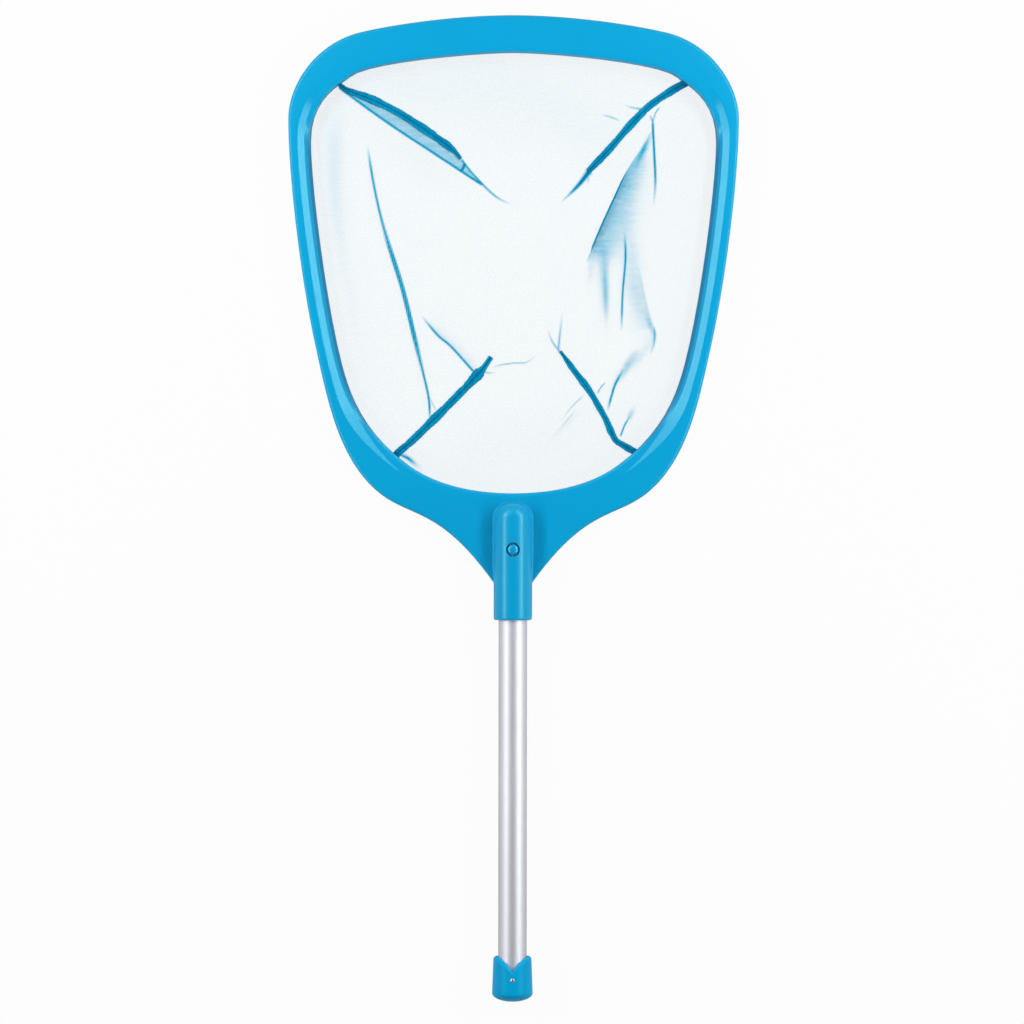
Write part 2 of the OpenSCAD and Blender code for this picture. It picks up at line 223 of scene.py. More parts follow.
class Graph:
    """Small helper that builds the node tree of one material."""

    def __init__(self, name: str) -> None:
        """Args:
            name: Name of the material.
        """
        self.material = bpy.data.materials.new(name)
        self.material.use_nodes = True
        self.tree = self.material.node_tree
        self.tree.nodes.clear()
        self.output = self.add("ShaderNodeOutputMaterial")

    def add(self, kind: str, **settings: object) -> bpy.types.Node:
        """Adds a node.

        Args:
            kind: Type of the node.
            settings: Properties of the node.

        Returns:
            The new node.
        """
        node = self.tree.nodes.new(kind)
        for key, value in settings.items():
            setattr(node, key, value)
        return node

    def put(self, node: bpy.types.Node, **inputs: object) -> bpy.types.Node:
        """Sets or links inputs by name, where an underscore stands for a space.

        Args:
            node: The node.
            inputs: Values or output sockets.

        Returns:
            The same node.
        """
        for key, value in inputs.items():
            socket = node.inputs[key.replace("_", " ")]
            if isinstance(value, bpy.types.NodeSocket):
                self.tree.links.new(value, socket)
            else:
                socket.default_value = value
        return node

    def maths(
        self, operation: str, a: Value, b: Value = None, c: Value = None, clamp: bool = False
    ) -> bpy.types.NodeSocket:
        """Adds a maths node.

        Args:
            operation: Name of the operation.
            a: First value or socket.
            b: Second value or socket.
            c: Third value or socket, where the operation takes one.
            clamp: Whether the result is kept between 0 and 1.

        Returns:
            The output socket.
        """
        node = self.add("ShaderNodeMath", operation=operation, use_clamp=clamp)
        for i, value in enumerate([a, b, c]):
            if value is None:
                continue
            if isinstance(value, bpy.types.NodeSocket):
                self.tree.links.new(value, node.inputs[i])
            else:
                node.inputs[i].default_value = value
        return node.outputs[0]

    def place(self, turn: float, stretch: tuple = (1, 1, 1)) -> bpy.types.NodeSocket:
        """Args:
            turn: Turn about Z in degrees.
            stretch: Scale along each axis.

        Returns:
            Turned and stretched object coordinates, in metres.
        """
        mapping = self.add("ShaderNodeMapping")
        mapping.inputs["Scale"].default_value = stretch
        mapping.inputs["Rotation"].default_value = (0, 0, math.radians(turn))
        self.put(mapping, Vector=self.add("ShaderNodeTexCoord").outputs["Object"])
        return mapping.outputs[0]

    def attribute(self, name: str) -> bpy.types.NodeSocket:
        """Args:
            name: Name of a point attribute.

        Returns:
            Its value.
        """
        return self.add("ShaderNodeAttribute", attribute_name=name).outputs["Fac"]

    def noise(
        self, scale: float, detail: float = 2.0, stretch: tuple = (1, 1, 1), turn: float = 0.0
    ) -> bpy.types.NodeSocket:
        """Adds a noise texture in object space.

        Args:
            scale: Cycles per metre.
            detail: Octaves.
            stretch: Scale along each axis.
            turn: Turn about Z in degrees.

        Returns:
            The output socket, from 0 to 1.
        """
        place = self.place(turn, stretch)
        node = self.add("ShaderNodeTexNoise")
        self.put(node, Vector=place, Scale=scale, Detail=detail, Roughness=0.5)
        return node.outputs["Fac"]

    def wave(self, scale: float, turn: float, profile: str = "SIN") -> bpy.types.NodeSocket:
        """Adds straight bands in object space.

        Args:
            scale: Bands' scale.
            turn: Turn about Z in degrees.
            profile: Shape of the band.

        Returns:
            The output socket, from 0 to 1.
        """
        place = self.place(turn)
        node = self.add("ShaderNodeTexWave", wave_profile=profile, bands_direction="X")
        self.put(node, Vector=place, Scale=scale, Distortion=0.0)
        return node.outputs["Fac"]

    def curve(self, value: bpy.types.NodeSocket, stops: list) -> bpy.types.NodeSocket:
        """Adds a colour ramp.

        Args:
            value: Socket with a value from 0 to 1.
            stops: Pairs of place and colour of three numbers.

        Returns:
            The colour output.
        """
        node = self.add("ShaderNodeValToRGB")
        self.put(node, Fac=value)
        points = node.color_ramp.elements
        while len(points) < len(stops):
            points.new(0.5)
        for point, (at, colour) in zip(points, stops):
            point.position = at
            point.color = (*colour, 1)
        return node.outputs["Color"]

    def bump(self, height: bpy.types.NodeSocket, strength: float, distance: float) -> bpy.types.NodeSocket:
        """Adds a bump.

        Args:
            height: Height socket.
            strength: Strength from 0 to 1.
            distance: Depth in metres.

        Returns:
            The normal output.
        """
        node = self.add("ShaderNodeBump")
        self.put(node, Height=height, Strength=strength, Distance=distance)
        return node.outputs[0]

    def surface(self, shader: bpy.types.Node) -> bpy.types.Material:
        """Links a shader to the output.

        Args:
            shader: Node whose first output is a shader.

        Returns:
            The finished material.
        """
        self.tree.links.new(shader.outputs[0], self.output.inputs["Surface"])
        return self.material


@dataclass(frozen=True)
class PlasticFinish:
    """Satin moulded plastic: faint flow mottle, fine grain, worn gloss, and painted shade that deepens the
    colour in a crook.
    """

    name: str
    deep: tuple
    light: tuple
    roughness: float = 0.3
    specular: float = 0.5
    tint: tuple = (0.3, 0.75, 1.0, 1.0)
    mottle_scale: float = 9.0
    grain_scale: float = 900.0
    grain_bump: float = 0.02
    wear_scale: float = 60.0
    wear: float = 0.06
    shade_share: float = 0.7
    shade_green: float = 0.5
    shade_blue: float = 0.6

    def build(self) -> bpy.types.Material:
        """Returns:
            The material.
        """
        g = Graph(self.name)
        flow = g.noise(self.mottle_scale, 3, (1, 0.5, 1))
        grain = g.noise(self.grain_scale, 2)
        # Painted shade: where the shade attribute is set, the colour falls towards a darker blue that
        # stands for the shade in the crook of the rails' inner wall.
        under = (self.deep[0], self.deep[1] * self.shade_green, self.deep[2] * self.shade_blue)
        shade = g.maths("MULTIPLY", g.attribute("shade"), self.shade_share)
        flow = g.maths("SUBTRACT", flow, shade, clamp=True)
        colour = g.curve(flow, [(0.0, under), (0.3, self.deep), (0.7, self.light)])
        rough = g.maths("MULTIPLY_ADD", g.noise(self.wear_scale, 3), self.wear,
                        self.roughness - self.wear / 2)
        shader = g.add("ShaderNodeBsdfPrincipled")
        g.put(shader, Base_Color=colour, Roughness=rough, IOR=1.5)
        g.put(shader, Specular_IOR_Level=self.specular, Specular_Tint=self.tint)
        g.put(shader, Normal=g.bump(grain, self.grain_bump, 0.1 * MM))
        return g.surface(shader)


@dataclass(frozen=True)
class MetalFinish:
    """Drawn or brushed metal with fine lines along one axis."""

    name: str
    colour: tuple
    dark: tuple
    roughness: float
    lines: tuple = (1, 0.02, 1)
    line_scale: float = 900.0
    line_depth: float = 0.00002
    cloud_scale: float = 14.0
    wear: float = 0.08

    def build(self) -> bpy.types.Material:
        """Returns:
            The material.
        """
        g = Graph(self.name)
        lines = g.noise(self.line_scale, 3, self.lines)
        cloud = g.noise(self.cloud_scale, 3)
        mixed = g.maths("ADD", g.maths("MULTIPLY", lines, 0.5), g.maths("MULTIPLY", cloud, 0.5))
        colour = g.curve(mixed, [(0.3, self.dark), (0.7, self.colour)])
        rough = g.maths("MULTIPLY_ADD", lines, self.wear, self.roughness - self.wear / 2)
        shader = g.add("ShaderNodeBsdfPrincipled")
        g.put(shader, Base_Color=colour, Roughness=rough, Metallic=1.0)
        g.put(shader, Normal=g.bump(lines, 0.15, self.line_depth))
        return g.surface(shader)


@dataclass(frozen=True)
class MeshFinish:
    """Fine knitted mesh: pale threads with open holes, deeper where the cloth is gathered, where it lies
    double and where painted shade lies.
    """

    name: str
    pale: tuple = (0.46, 0.68, 0.76)
    mid: tuple = (0.0, 0.39, 0.6)
    deep: tuple = (0.0, 0.16, 0.34)
    cover: float = 0.11
    thread: float = 0.12
    pitch: float = 0.0011
    loose_scale: float = 14.0
    slub_scale: float = 500.0
    streak_scale: float = 420.0
    drawn: float = 1.45
    knit_share: float = 0.5
    shade_share: float = 0.5

    def build(self) -> bpy.types.Material:
        """Returns:
            The material.
        """
        g = Graph(self.name)
        scale = math.pi / (10 * self.pitch)
        warp = g.wave(scale, 45)
        weft = g.wave(scale, -45)
        knit = g.maths("MAXIMUM", warp, weft)
        knit = g.maths("POWER", knit, 3.0)
        loose = g.maths("MULTIPLY_ADD", g.noise(self.loose_scale, 3, (1, 0.5, 1), 20), 0.5, 0.75)
        threads = g.maths("MULTIPLY", g.maths("MULTIPLY", knit, self.thread), loose)
        single = g.maths("ADD", threads, self.cover)
        gather = g.attribute("gather")
        slub = g.maths("MULTIPLY_ADD", g.noise(self.slub_scale, 2), 0.4, 0.8)
        drawn = g.maths("MULTIPLY", gather, g.maths("MULTIPLY", slub, self.drawn))
        streak = g.maths("MULTIPLY_ADD", g.noise(self.streak_scale, 3, (0.2, 1, 1), 12), 0.9, 0.35)
        streak = g.maths("ADD", streak, g.maths("MULTIPLY", knit, self.knit_share))
        # Painted shade, streaked along the weft: the shade attribute raises the cover and deepens the
        # colour beside the folds and near the frame, and it also gives the double panel its deeper tone.
        shade = g.maths("MULTIPLY", g.attribute("shade"), streak)
        alpha = g.maths("ADD", g.maths("ADD", single, shade), drawn, clamp=True)
        deeper = g.maths("ADD", gather, g.maths("MULTIPLY", shade, self.shade_share), clamp=True)
        colour = g.curve(deeper, [(0.0, self.pale), (0.1, self.mid), (0.45, self.mid), (1.0, self.deep)])
        shader = g.add("ShaderNodeBsdfPrincipled")
        g.put(shader, Base_Color=colour, Roughness=0.8, Alpha=alpha)
        g.put(shader, Specular_IOR_Level=0.1)
        g.put(shader, Normal=g.bump(knit, 0.25, 0.0002))
        return g.surface(shader)


@dataclass(frozen=True)
class ThreadFinish:
    """Overlocked or woven thread: fine ribs, uneven dye, a matt surface, and a per-point tone that on the
    seams is painted light and shade.
    """

    name: str
    dark: tuple
    light: tuple
    scale: float = 420.0
    roughness: float = 0.75
    dye_scale: float = 45.0
    fibre_share: float = 0.4
    dye_share: float = 0.3
    tone_share: float = 0.45

    def build(self) -> bpy.types.Material:
        """Returns:
            The material.
        """
        g = Graph(self.name)
        fibre = g.noise(self.scale, 4, (1, 0.4, 1), 35)
        dye = g.maths("MULTIPLY", g.noise(self.dye_scale, 3), self.dye_share)
        # On the seams this per-point value is painted light and shade; on the hem it is the strands' own
        # tone.
        tone_and_painted_light = g.maths("MULTIPLY", g.attribute("tone_and_painted_light"), self.tone_share)
        mixed = g.maths("ADD", g.maths("MULTIPLY", fibre, self.fibre_share), dye)
        mixed = g.maths("ADD", mixed, tone_and_painted_light, clamp=True)
        colour = g.curve(mixed, [(0.3, self.dark), (0.85, self.light)])
        shader = g.add("ShaderNodeBsdfPrincipled")
        g.put(shader, Base_Color=colour, Roughness=self.roughness)
        g.put(shader, Specular_IOR_Level=0.05)
        g.put(shader, Normal=g.bump(fibre, 0.4, 0.0003))
        return g.surface(shader)


@dataclass(frozen=True)
class FloorFinish:
    """Pale floor that the camera sees as white, that reflections see with only a share of that white, and
    that keeps the shadow.
    """

    name: str = "floor_white"
    keep_shadow: float = 0.04
    in_gloss: float = 0.15

    def build(self) -> bpy.types.Material:
        """Returns:
            The material.
        """
        g = Graph(self.name)
        paths = g.add("ShaderNodeLightPath").outputs
        glossy = g.maths("MULTIPLY", paths["Is Glossy Ray"], self.in_gloss)
        seen = g.maths("MAXIMUM", paths["Is Camera Ray"], glossy)
        seen = g.maths("MAXIMUM", seen, paths["Is Transmission Ray"])
        cloud = g.curve(g.noise(0.8, 2), [(0.3, (0.56, 0.56, 0.56)), (0.7, (0.6, 0.6, 0.6))])
        diffuse = g.add("ShaderNodeBsdfDiffuse")
        g.put(diffuse, Color=cloud)
        glow = g.add("ShaderNodeEmission")
        g.put(glow, Color=(1, 1, 1, 1), Strength=1.0)
        mix = g.add("ShaderNodeMixShader")
        g.put(mix, Fac=g.maths("MULTIPLY", seen, 1 - self.keep_shadow))
        g.tree.links.new(diffuse.outputs[0], mix.inputs[1])
        g.tree.links.new(glow.outputs[0], mix.inputs[2])
        return g.surface(mix)


class Draft:
    """Collects vertices and faces in millimetres and turns them into one object."""

    def __init__(self, name: str) -> None:
        """Args:
            name: Name of the object to make.
        """
        self.name = name
        self.points: list = []
        self.faces: list = []
        self.values: dict = {}

    def sweep(self, rings: "list | np.ndarray", closed_path: bool = False, closed_ring: bool = True,
              caps: bool = False) -> None:
        """Skins a row of rings that have the same number of points.

        Args:
            rings: Array of rings of points.
            closed_path: Whether the last ring joins the first.
            closed_ring: Whether each ring is closed.
            caps: Whether the ends are filled.
        """
        rings = np.asarray(rings, float)
        n, m = rings.shape[:2]
        base = len(self.points)
        self.points.extend(map(tuple, rings.reshape(-1, 3)))
        for i in range(n if closed_path else n - 1):
            k = (i + 1) % n
            for j in range(m if closed_ring else m - 1):
                q = (j + 1) % m
                self.faces.append((base + i * m + j, base + k * m + j, base + k * m + q, base + i * m + q))
        if caps:
            self.faces.append(tuple(base + j for j in range(m)))
            self.faces.append(tuple(base + (n - 1) * m + j for j in reversed(range(m))))

    def lathe(self, profile: list, centre: tuple, along: str, sides: int = 96) -> None:
        """Turns a closed profile round an axis. Points on the axis are shared by all sides.

        Args:
            profile: Pairs of radius and place along the axis.
            centre: Where the axis starts.
            along: "y" or "z".
            sides: Number of sides.
        """
        rings = []
        for i in range(sides):
            a = 2 * math.pi * i / sides
            ring = []
            for j, (r, s) in enumerate(profile):
                if r == 0 and i:
                    ring.append(rings[0][j])
                    continue
                ring.append(len(self.points))
                if along == "y":
                    self.points.append((centre[0] + r * math.cos(a), centre[1] + s,
                                        centre[2] + r * math.sin(a)))
                else:
                    self.points.append((centre[0] + r * math.sin(a), centre[1] + r * math.cos(a),
                                        centre[2] + s))
            rings.append(ring)
        for i, here in enumerate(rings):
            there = rings[(i + 1) % sides]
            for j in range(len(profile)):
                k = (j + 1) % len(profile)
                face = tuple(dict.fromkeys((here[j], there[j], there[k], here[k])))
                if len(face) > 2:
                    self.faces.append(face)

    def prism(self, outline: list, low: float, high: float, axis: int) -> None:
        """Extrudes an outline.

        Args:
            outline: Points of two numbers, in the two other axes in order.
            low: Where the extrusion starts.
            high: Where it ends.
            axis: 0, 1 or 2.
        """
        rings = []
        for at in (low, high):
            rings.append([tuple(np.insert(np.asarray(p, float), axis, at)) for p in outline])
        self.sweep(rings, caps=True)

    def tube(self, path: np.ndarray, radius: "float | np.ndarray", sides: int = 8,
             closed: bool = False) -> None:
        """Sweeps a round section along a path.

        Args:
            path: Points of three numbers.
            radius: One radius, or one for each point.
            sides: Number of sides.
            closed: Whether the path is closed.
        """
        path = np.asarray(path, float)
        t = tangents(path, closed)
        radius = np.broadcast_to(np.asarray(radius, float), (len(path),))
        up = np.array([0.0, 0.0, 1.0])
        side = np.cross(t, up)
        bare = np.linalg.norm(side, axis=1) < 1e-4
        side[bare] = (1, 0, 0)
        side /= np.linalg.norm(side, axis=1, keepdims=True)
        over = np.cross(side, t)
        a = np.linspace(0, 2 * math.pi, sides, endpoint=False)
        rings = path[:, None] + radius[:, None, None] * (
            side[:, None] * np.cos(a)[None, :, None] + over[:, None] * np.sin(a)[None, :, None]
        )
        self.sweep(rings, closed_path=closed, caps=not closed)

    def value(self, name: str, values: "float | list | np.ndarray") -> None:
        """Adds values for the points made so far.

        Args:
            name: Name of the point attribute.
            values: One number, or one for each point that has no value yet.
        """
        held = self.values.setdefault(name, [])
        count = len(self.points) - len(held)
        held.extend(np.broadcast_to(np.asarray(values, float), (count,)).tolist())

    def mesh(self) -> bpy.types.Mesh:
        """Returns:
            A mesh of the collected faces, in metres, with its normals outwards.
        """
        mesh = bpy.data.meshes.new(self.name)
        points = np.asarray(self.points, float) * MM
        mesh.from_pydata(points.tolist(), [], self.faces)
        work = bmesh.new()
        work.from_mesh(mesh)
        bmesh.ops.recalc_face_normals(work, faces=work.faces)
        work.to_mesh(mesh)
        work.free()
        return mesh

    def make(
        self, body: Body, material: bpy.types.Material, smooth: float = 35
    ) -> bpy.types.Object:
        """Makes the object.

        Args:
            body: Body it rides on.
            material: Its material.
            smooth: Angle in degrees above which an edge stays sharp.

        Returns:
            The new object.
        """
        mesh = self.mesh()
        for name, values in self.values.items():
            layer = mesh.attributes.new(name, "FLOAT", "POINT")
            layer.data.foreach_set("value", np.asarray(values, np.float32))
        mesh.shade_smooth()
        mesh.set_sharp_from_angle(angle=math.radians(smooth))
        mesh.update()
        made = bpy.data.objects.new(self.name, mesh)
        bpy.context.scene.collection.objects.link(made)
        made.data.materials.append(material)
        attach(made, body.value)
        LOG.info("piece %s: %d points, %d faces", self.name, len(self.points), len(self.faces))
        return made


def carve(piece: bpy.types.Object, cutters: list, smooth: float = 35) -> None:
    """Cuts solids out of a piece and removes the cutters.

    Args:
        piece: The piece.
        cutters: Drafts of closed solids.
        smooth: Angle in degrees above which an edge stays sharp.
    """
    for draft in cutters:
        mesh = draft.mesh()
        cutter = bpy.data.objects.new(draft.name, mesh)
        bpy.context.scene.collection.objects.link(cutter)
        modifier = piece.modifiers.new("cut", "BOOLEAN")
        modifier.operation = "DIFFERENCE"
        modifier.solver = "EXACT"
        modifier.object = cutter
        graph = bpy.context.evaluated_depsgraph_get()
        done = bpy.data.meshes.new_from_object(piece.evaluated_get(graph))
        piece.modifiers.clear()
        old = piece.data
        piece.data = done
        bpy.data.meshes.remove(old)
        bpy.data.objects.remove(cutter)
        bpy.data.meshes.remove(mesh)
    piece.data.shade_smooth()
    piece.data.set_sharp_from_angle(angle=math.radians(smooth))


@dataclass(frozen=True)
class HeadSizes:
    """Sizes of the head, in millimetres, as in the CAD source."""

    width: float = 395.0
    length: float = 530.0
    mouth_y: float = -98.0
    height: float = 17.0
    wall: float = 2.6
    lip: float = 32.0
    rail: float = 19.5
    web: float = 111.0
    drop: float = 7.0
    bevel: float = 5.2
    slope: float = 0.56
    facet_fall: tuple = (0.48, 0.5)
    facet_least: float = 0.8
    facet_shift: float = 5.0
    chamfer_fall: tuple = (0.88, 0.12)
    chamfer_least: tuple = (0.2, 0.12)
    edge_fall: float = 1.3
    edge_least: float = 1.2
    # crook: where the painted shade on the rails' inner wall starts and where it is full, in millimetres
    # from the mouth's edge.
    crook: tuple = (3.2, 2.0)
    rounding: float = 3.0
    inner_low: float = 3.9
    socket_r: float = 16.9
    bore_r: float = 12.75
    bore_end: float = -19.6
    axis_z: float = 17.8
    button_y: float = -36.3
    window_r: float = 5.9
    boss_r: float = 3.1
    boss_in: float = 11.2
    boss_hole: float = 1.55
    boss_low: float = 3.2
    boss_top: float = 14.8
    rib_shares: tuple = (4.3, 4.62)
    rib_half: float = 1.1
    rib_top: float = 15.2
    neck_half: float = 16.6
    neck_y: float = -65.7
    dome_y: float = -10.5
    dome_rise: float = 15.6
    dome_side: float = 0.84
    dome_tip: float = 0.9
    steps: int = 26


EDGE = [
    [[0, 1], [0.341, 1], [0.666, 0.974], [0.704, 0.969]],
    [[0.704, 0.969], [0.895, 0.947], [1, 0.88], [1, 0.829]],
    [[1, 0.829], [1, 0.735], [0.944, 0.565], [0.88, 0.456]],
    [[0.88, 0.456], [0.832, 0.376], [0.79, 0.288], [0.649, 0.229]],
    [[0.649, 0.229], [0.481, 0.16], [0.356, 0.203], [0.085, 0.061]],
]
MOUTH = [
    [[0, 1], [0.177, 1], [0.731, 0.978], [0.809, 0.944]],
    [[0.809, 0.944], [0.845, 0.928], [1, 0.901], [1, 0.798]],
    [[1, 0.798], [1, 0.703], [0.923, 0.429], [0.846, 0.294]],
    [[0.846, 0.294], [0.804, 0.22], [0.737, 0.138], [0.517, 0.064]],
    [[0.517, 0.064], [0.384, 0.019], [0.2, 0], [0, 0]],
]


class HeadShape:
    """Outlines that the head, the ring, the hem and the mesh share."""

    def __init__(self, sizes: HeadSizes) -> None:
        """Args:
            sizes: Sizes of the head.
        """
        self.sizes = sizes
        self.mouth_w = sizes.width - 2 * sizes.rail
        self.mouth_l = sizes.length - sizes.lip - sizes.web
        self.mouth_low = sizes.mouth_y + sizes.web

    def on_head(self, p: np.ndarray) -> np.ndarray:
        """Args:
            p: Point in shares of the head's half width and length.

        Returns:
            The point in millimetres.
        """
        s = self.sizes
        return np.array([p[0] * s.width / 2, s.mouth_y + p[1] * s.length])

    def in_mouth(self, p: np.ndarray) -> np.ndarray:
        """Args:
            p: Point in shares of the mouth's half width and length.

        Returns:
            The point in millimetres.
        """
        return np.array([p[0] * self.mouth_w / 2, self.mouth_low + p[1] * self.mouth_l])

    def dome(self, radius: float, a: float) -> tuple:
        """Args:
            radius: Radius at the foot of the dome.
            a: Angle up the dome, from 0 to a right angle.

        Returns:
            Radius there and place along the socket.
        """
        s = self.sizes
        side = radius * max(math.cos(a), 0.0) ** s.dome_side
        return side, s.dome_y + s.dome_rise * math.sin(a) ** s.dome_tip

    def mouth(self, steps: int) -> np.ndarray:
        """Closed outline of the bag's mouth, clockwise seen from above.

        Args:
            steps: Points per curve.

        Returns:
            Array of points.
        """
        half = [self.in_mouth(bezier(c, j / steps)) for c in MOUTH for j in range(steps)]
        half.append(self.in_mouth(np.array([0.0, 0.0])))
        half = np.array(half)
        left = half[-2:0:-1] * np.array([-1, 1])
        return np.vstack([half, left])

    @staticmethod
    def grown(path: np.ndarray, out: float) -> np.ndarray:
        """Moves a closed clockwise outline outwards.

        Args:
            path: Array of points.
            out: Distance in millimetres.

        Returns:
            The moved outline.
        """
        t = tangents(path, closed=True)
        return path + out * np.stack([-t[:, 1], t[:, 0]], axis=1)


class HeadFrame:
    """The moulding: lip, side rails with their bevel, web, domed socket, ribs and bosses.

    NECK_SHARES holds the shares of the mouth's last curve that face the web's edge, the socket's
    side and its dome.
    """

    NECK_SHARES = (0.55, 0.2, 0.25)

    def __init__(self, shape: HeadShape, finish: PlasticFinish) -> None:
        """Args:
            shape: Shared outlines.
            finish: Finish of the moulding.
        """
        self.shape = shape
        self.sizes = shape.sizes
        self.material = finish.build()

    def stations(self) -> list:
        """Pairs of outer and inner points down the right half.

        Returns:
            Tuples of outer point, inner point, bevel shares and whether there is an outer wall.
        """
        s = self.sizes
        n = s.steps
        web, beside, dome = self.NECK_SHARES
        rows = []
        for i in range(4):
            for j in range(n):
                k = i + j / n
                outer = self.shape.on_head(bezier(EDGE[i], j / n))
                inner = self.shape.in_mouth(bezier(MOUTH[i], j / n))
                rows.append((outer, inner, self.bevel(k), True))
        for j in range(n + 1):
            k = 4 + j / n
            outer = self.shape.on_head(bezier(EDGE[4], j / n))
            inner = self.shape.in_mouth(bezier(MOUTH[4], web * j / n))
            rows.append((outer, inner, self.bevel(k), True))
        side = s.socket_r - 0.5
        side_end = s.dome_y - 0.5
        low = rows[-1][0][1]
        for j in range(0, 9):
            outer = np.array([side, low + (side_end - low) * j / 8])
            inner = self.shape.in_mouth(bezier(MOUTH[4], web + beside * j / 8))
            rows.append((outer, inner, self.bevel(5), False))
        for j in range(1, 13):
            a = math.pi / 2 * j / 12
            outer = np.array([side * math.cos(a), side_end + (s.dome_rise - 1.4) * math.sin(a)])
            inner = self.shape.in_mouth(bezier(MOUTH[4], web + beside + dome * j / 12))
            rows.append((outer, inner, self.bevel(5), False))
        return rows

    @staticmethod
    def bevel(k: float) -> tuple:
        """Args:
            k: Place along the five curves of the outline.

        Returns:
            Share of the drop, start of the facet, widening in the corner, what is left and shift.
        """
        left = 1 - ramp(3.3, 4.15, k)
        shares = (ramp(1.55, 2.1, k) * left, ramp(1.48, 1.76, k), ramp(3.15, 3.75, k), left,
                  ramp(3.5, 4.15, k))
        return tuple(float(v) for v in shares)

    def section(self, row: tuple, along_outer: np.ndarray, along_inner: np.ndarray) -> list:
        """Cross section at one station.

        Args:
            row: One station.
            along_outer: Tangent of the outer edge.
            along_inner: Tangent of the mouth.

        Returns:
            Points of three numbers and the painted shade in the crook above the mouth.
        """
        s = self.sizes
        outer, inner, (b, steep, corner, left, shift), walled = row
        d = inner - outer
        w = float(np.hypot(*d))
        u = d / w
        h = s.height
        skew_out = max(0.5, abs(u[0] * along_outer[1] - u[1] * along_outer[0]))
        skew_in = max(0.5, abs(u[0] * along_inner[1] - u[1] * along_inner[0]))
        wo = s.wall / skew_out
        wi = s.wall / skew_in
        r = s.rounding
        rows = []
        if walled:
            rows += [(0.5, 0.0), (0.12, 0.15), (0.0, 0.6), (0.0, h - r)]
            for a in (15, 30, 45, 60, 75):
                rows.append((r - r * math.cos(math.radians(a)), h - r + r * math.sin(math.radians(a))))
            rows.append((r, h))
        else:
            rows += [(0.0, h - s.wall)] * 4 + [(0.0, h - 0.2 * k) for k in (5, 4, 3, 2, 1)] + [(0.0, h)]
        start = rows[-1]
        fall = (s.facet_fall[0] + s.facet_fall[1] * corner) * s.drop * left
        run = max(fall / s.slope, s.facet_least)
        fall *= steep
        at_b = w - (s.bevel + s.facet_shift * shift - corner) / skew_in
        at_a = max(at_b - run / skew_in, start[0] + 0.5)
        at_b = max(at_b, at_a + s.facet_least)
        chamfer = (s.chamfer_fall[0] + s.chamfer_fall[1] * corner) * b * s.drop
        low_c = h - max(s.chamfer_least[0] + chamfer, fall + s.chamfer_least[1])
        low_e = h - max(s.edge_fall + b * s.drop, fall + s.edge_least)
        corners = [(*start, 0), (at_a, h, 0.4), (at_b, h - fall, 0.4), (w - 2.5 / skew_in, low_c, 0.7),
                   (w, low_e, 0.7)]
        corners += [(w, s.inner_low, 0.4), (w - wi, s.inner_low, 0)]
        rows += rounded(corners)[1:]
        foot = max(at_a - 1.0, (wo if walled else 0.4) + 1.2)
        rows += [(w - wi, h - s.wall - 0.9 - 0.75 * b * s.drop),
                 (max(at_b - 0.5, foot + 0.3), h - fall - 2.4)]
        rows += [(foot, h - s.wall)]
        if walled:
            rows += [(wo + 0.6, h - s.wall), (wo, h - s.wall - 0.6), (wo, 0.0)]
        else:
            rows += [(1.2, h - s.wall), (0.6, h - s.wall), (0.3, h - s.wall)]
        # Painted shade on the inner wall, scaled by the bevel's share of the drop.
        crook = [w - v / skew_in for v in s.crook]
        dark = [b * float(ramp(*crook, q)) for q, z in rows]
        return [(outer[0] + u[0] * q, outer[1] + u[1] * q, z, k) for (q, z), k in zip(rows, dark)]

    def rim(self, draft: Draft) -> None:
        """Sweeps the lip, the rails and the web.

        Args:
            draft: Where the faces go.
        """
        half = self.stations()
        full = half + [
            (np.array([-o[0], o[1]]), np.array([-i[0], i[1]]), b, w) for o, i, b, w in half[-2:0:-1]
        ]
        outer = tangents(np.array([r[0] for r in full]), closed=True)
        inner = tangents(np.array([r[1] for r in full]), closed=True)
        rings = np.array([self.section(row, outer[i], inner[i]) for i, row in enumerate(full)])
        draft.value("shade", 0.0)
        draft.sweep(rings[:, :, :3], closed_path=True)
        # The fourth number of each point is its painted shade.
        draft.value("shade", rings[:, :, 3].ravel())

    def closing_wall(self, draft: Draft) -> None:
        """Adds the wall under the socket that joins the two outer walls.

        Args:
            draft: Where the faces go.
        """
        s = self.sizes
        outline = [(-s.neck_half, 0.0), (s.neck_half, 0.0), (s.neck_half, s.height - s.wall)]
        for i in range(0, 25):
            a = math.radians(-12 - 156 * i / 24)
            r = s.socket_r - 0.6
            outline.append((r * math.cos(a), s.axis_z + r * math.sin(a)))
        outline.append((-s.neck_half, s.height - s.wall))
        draft.prism(outline, s.neck_y, s.neck_y + s.wall, 1)

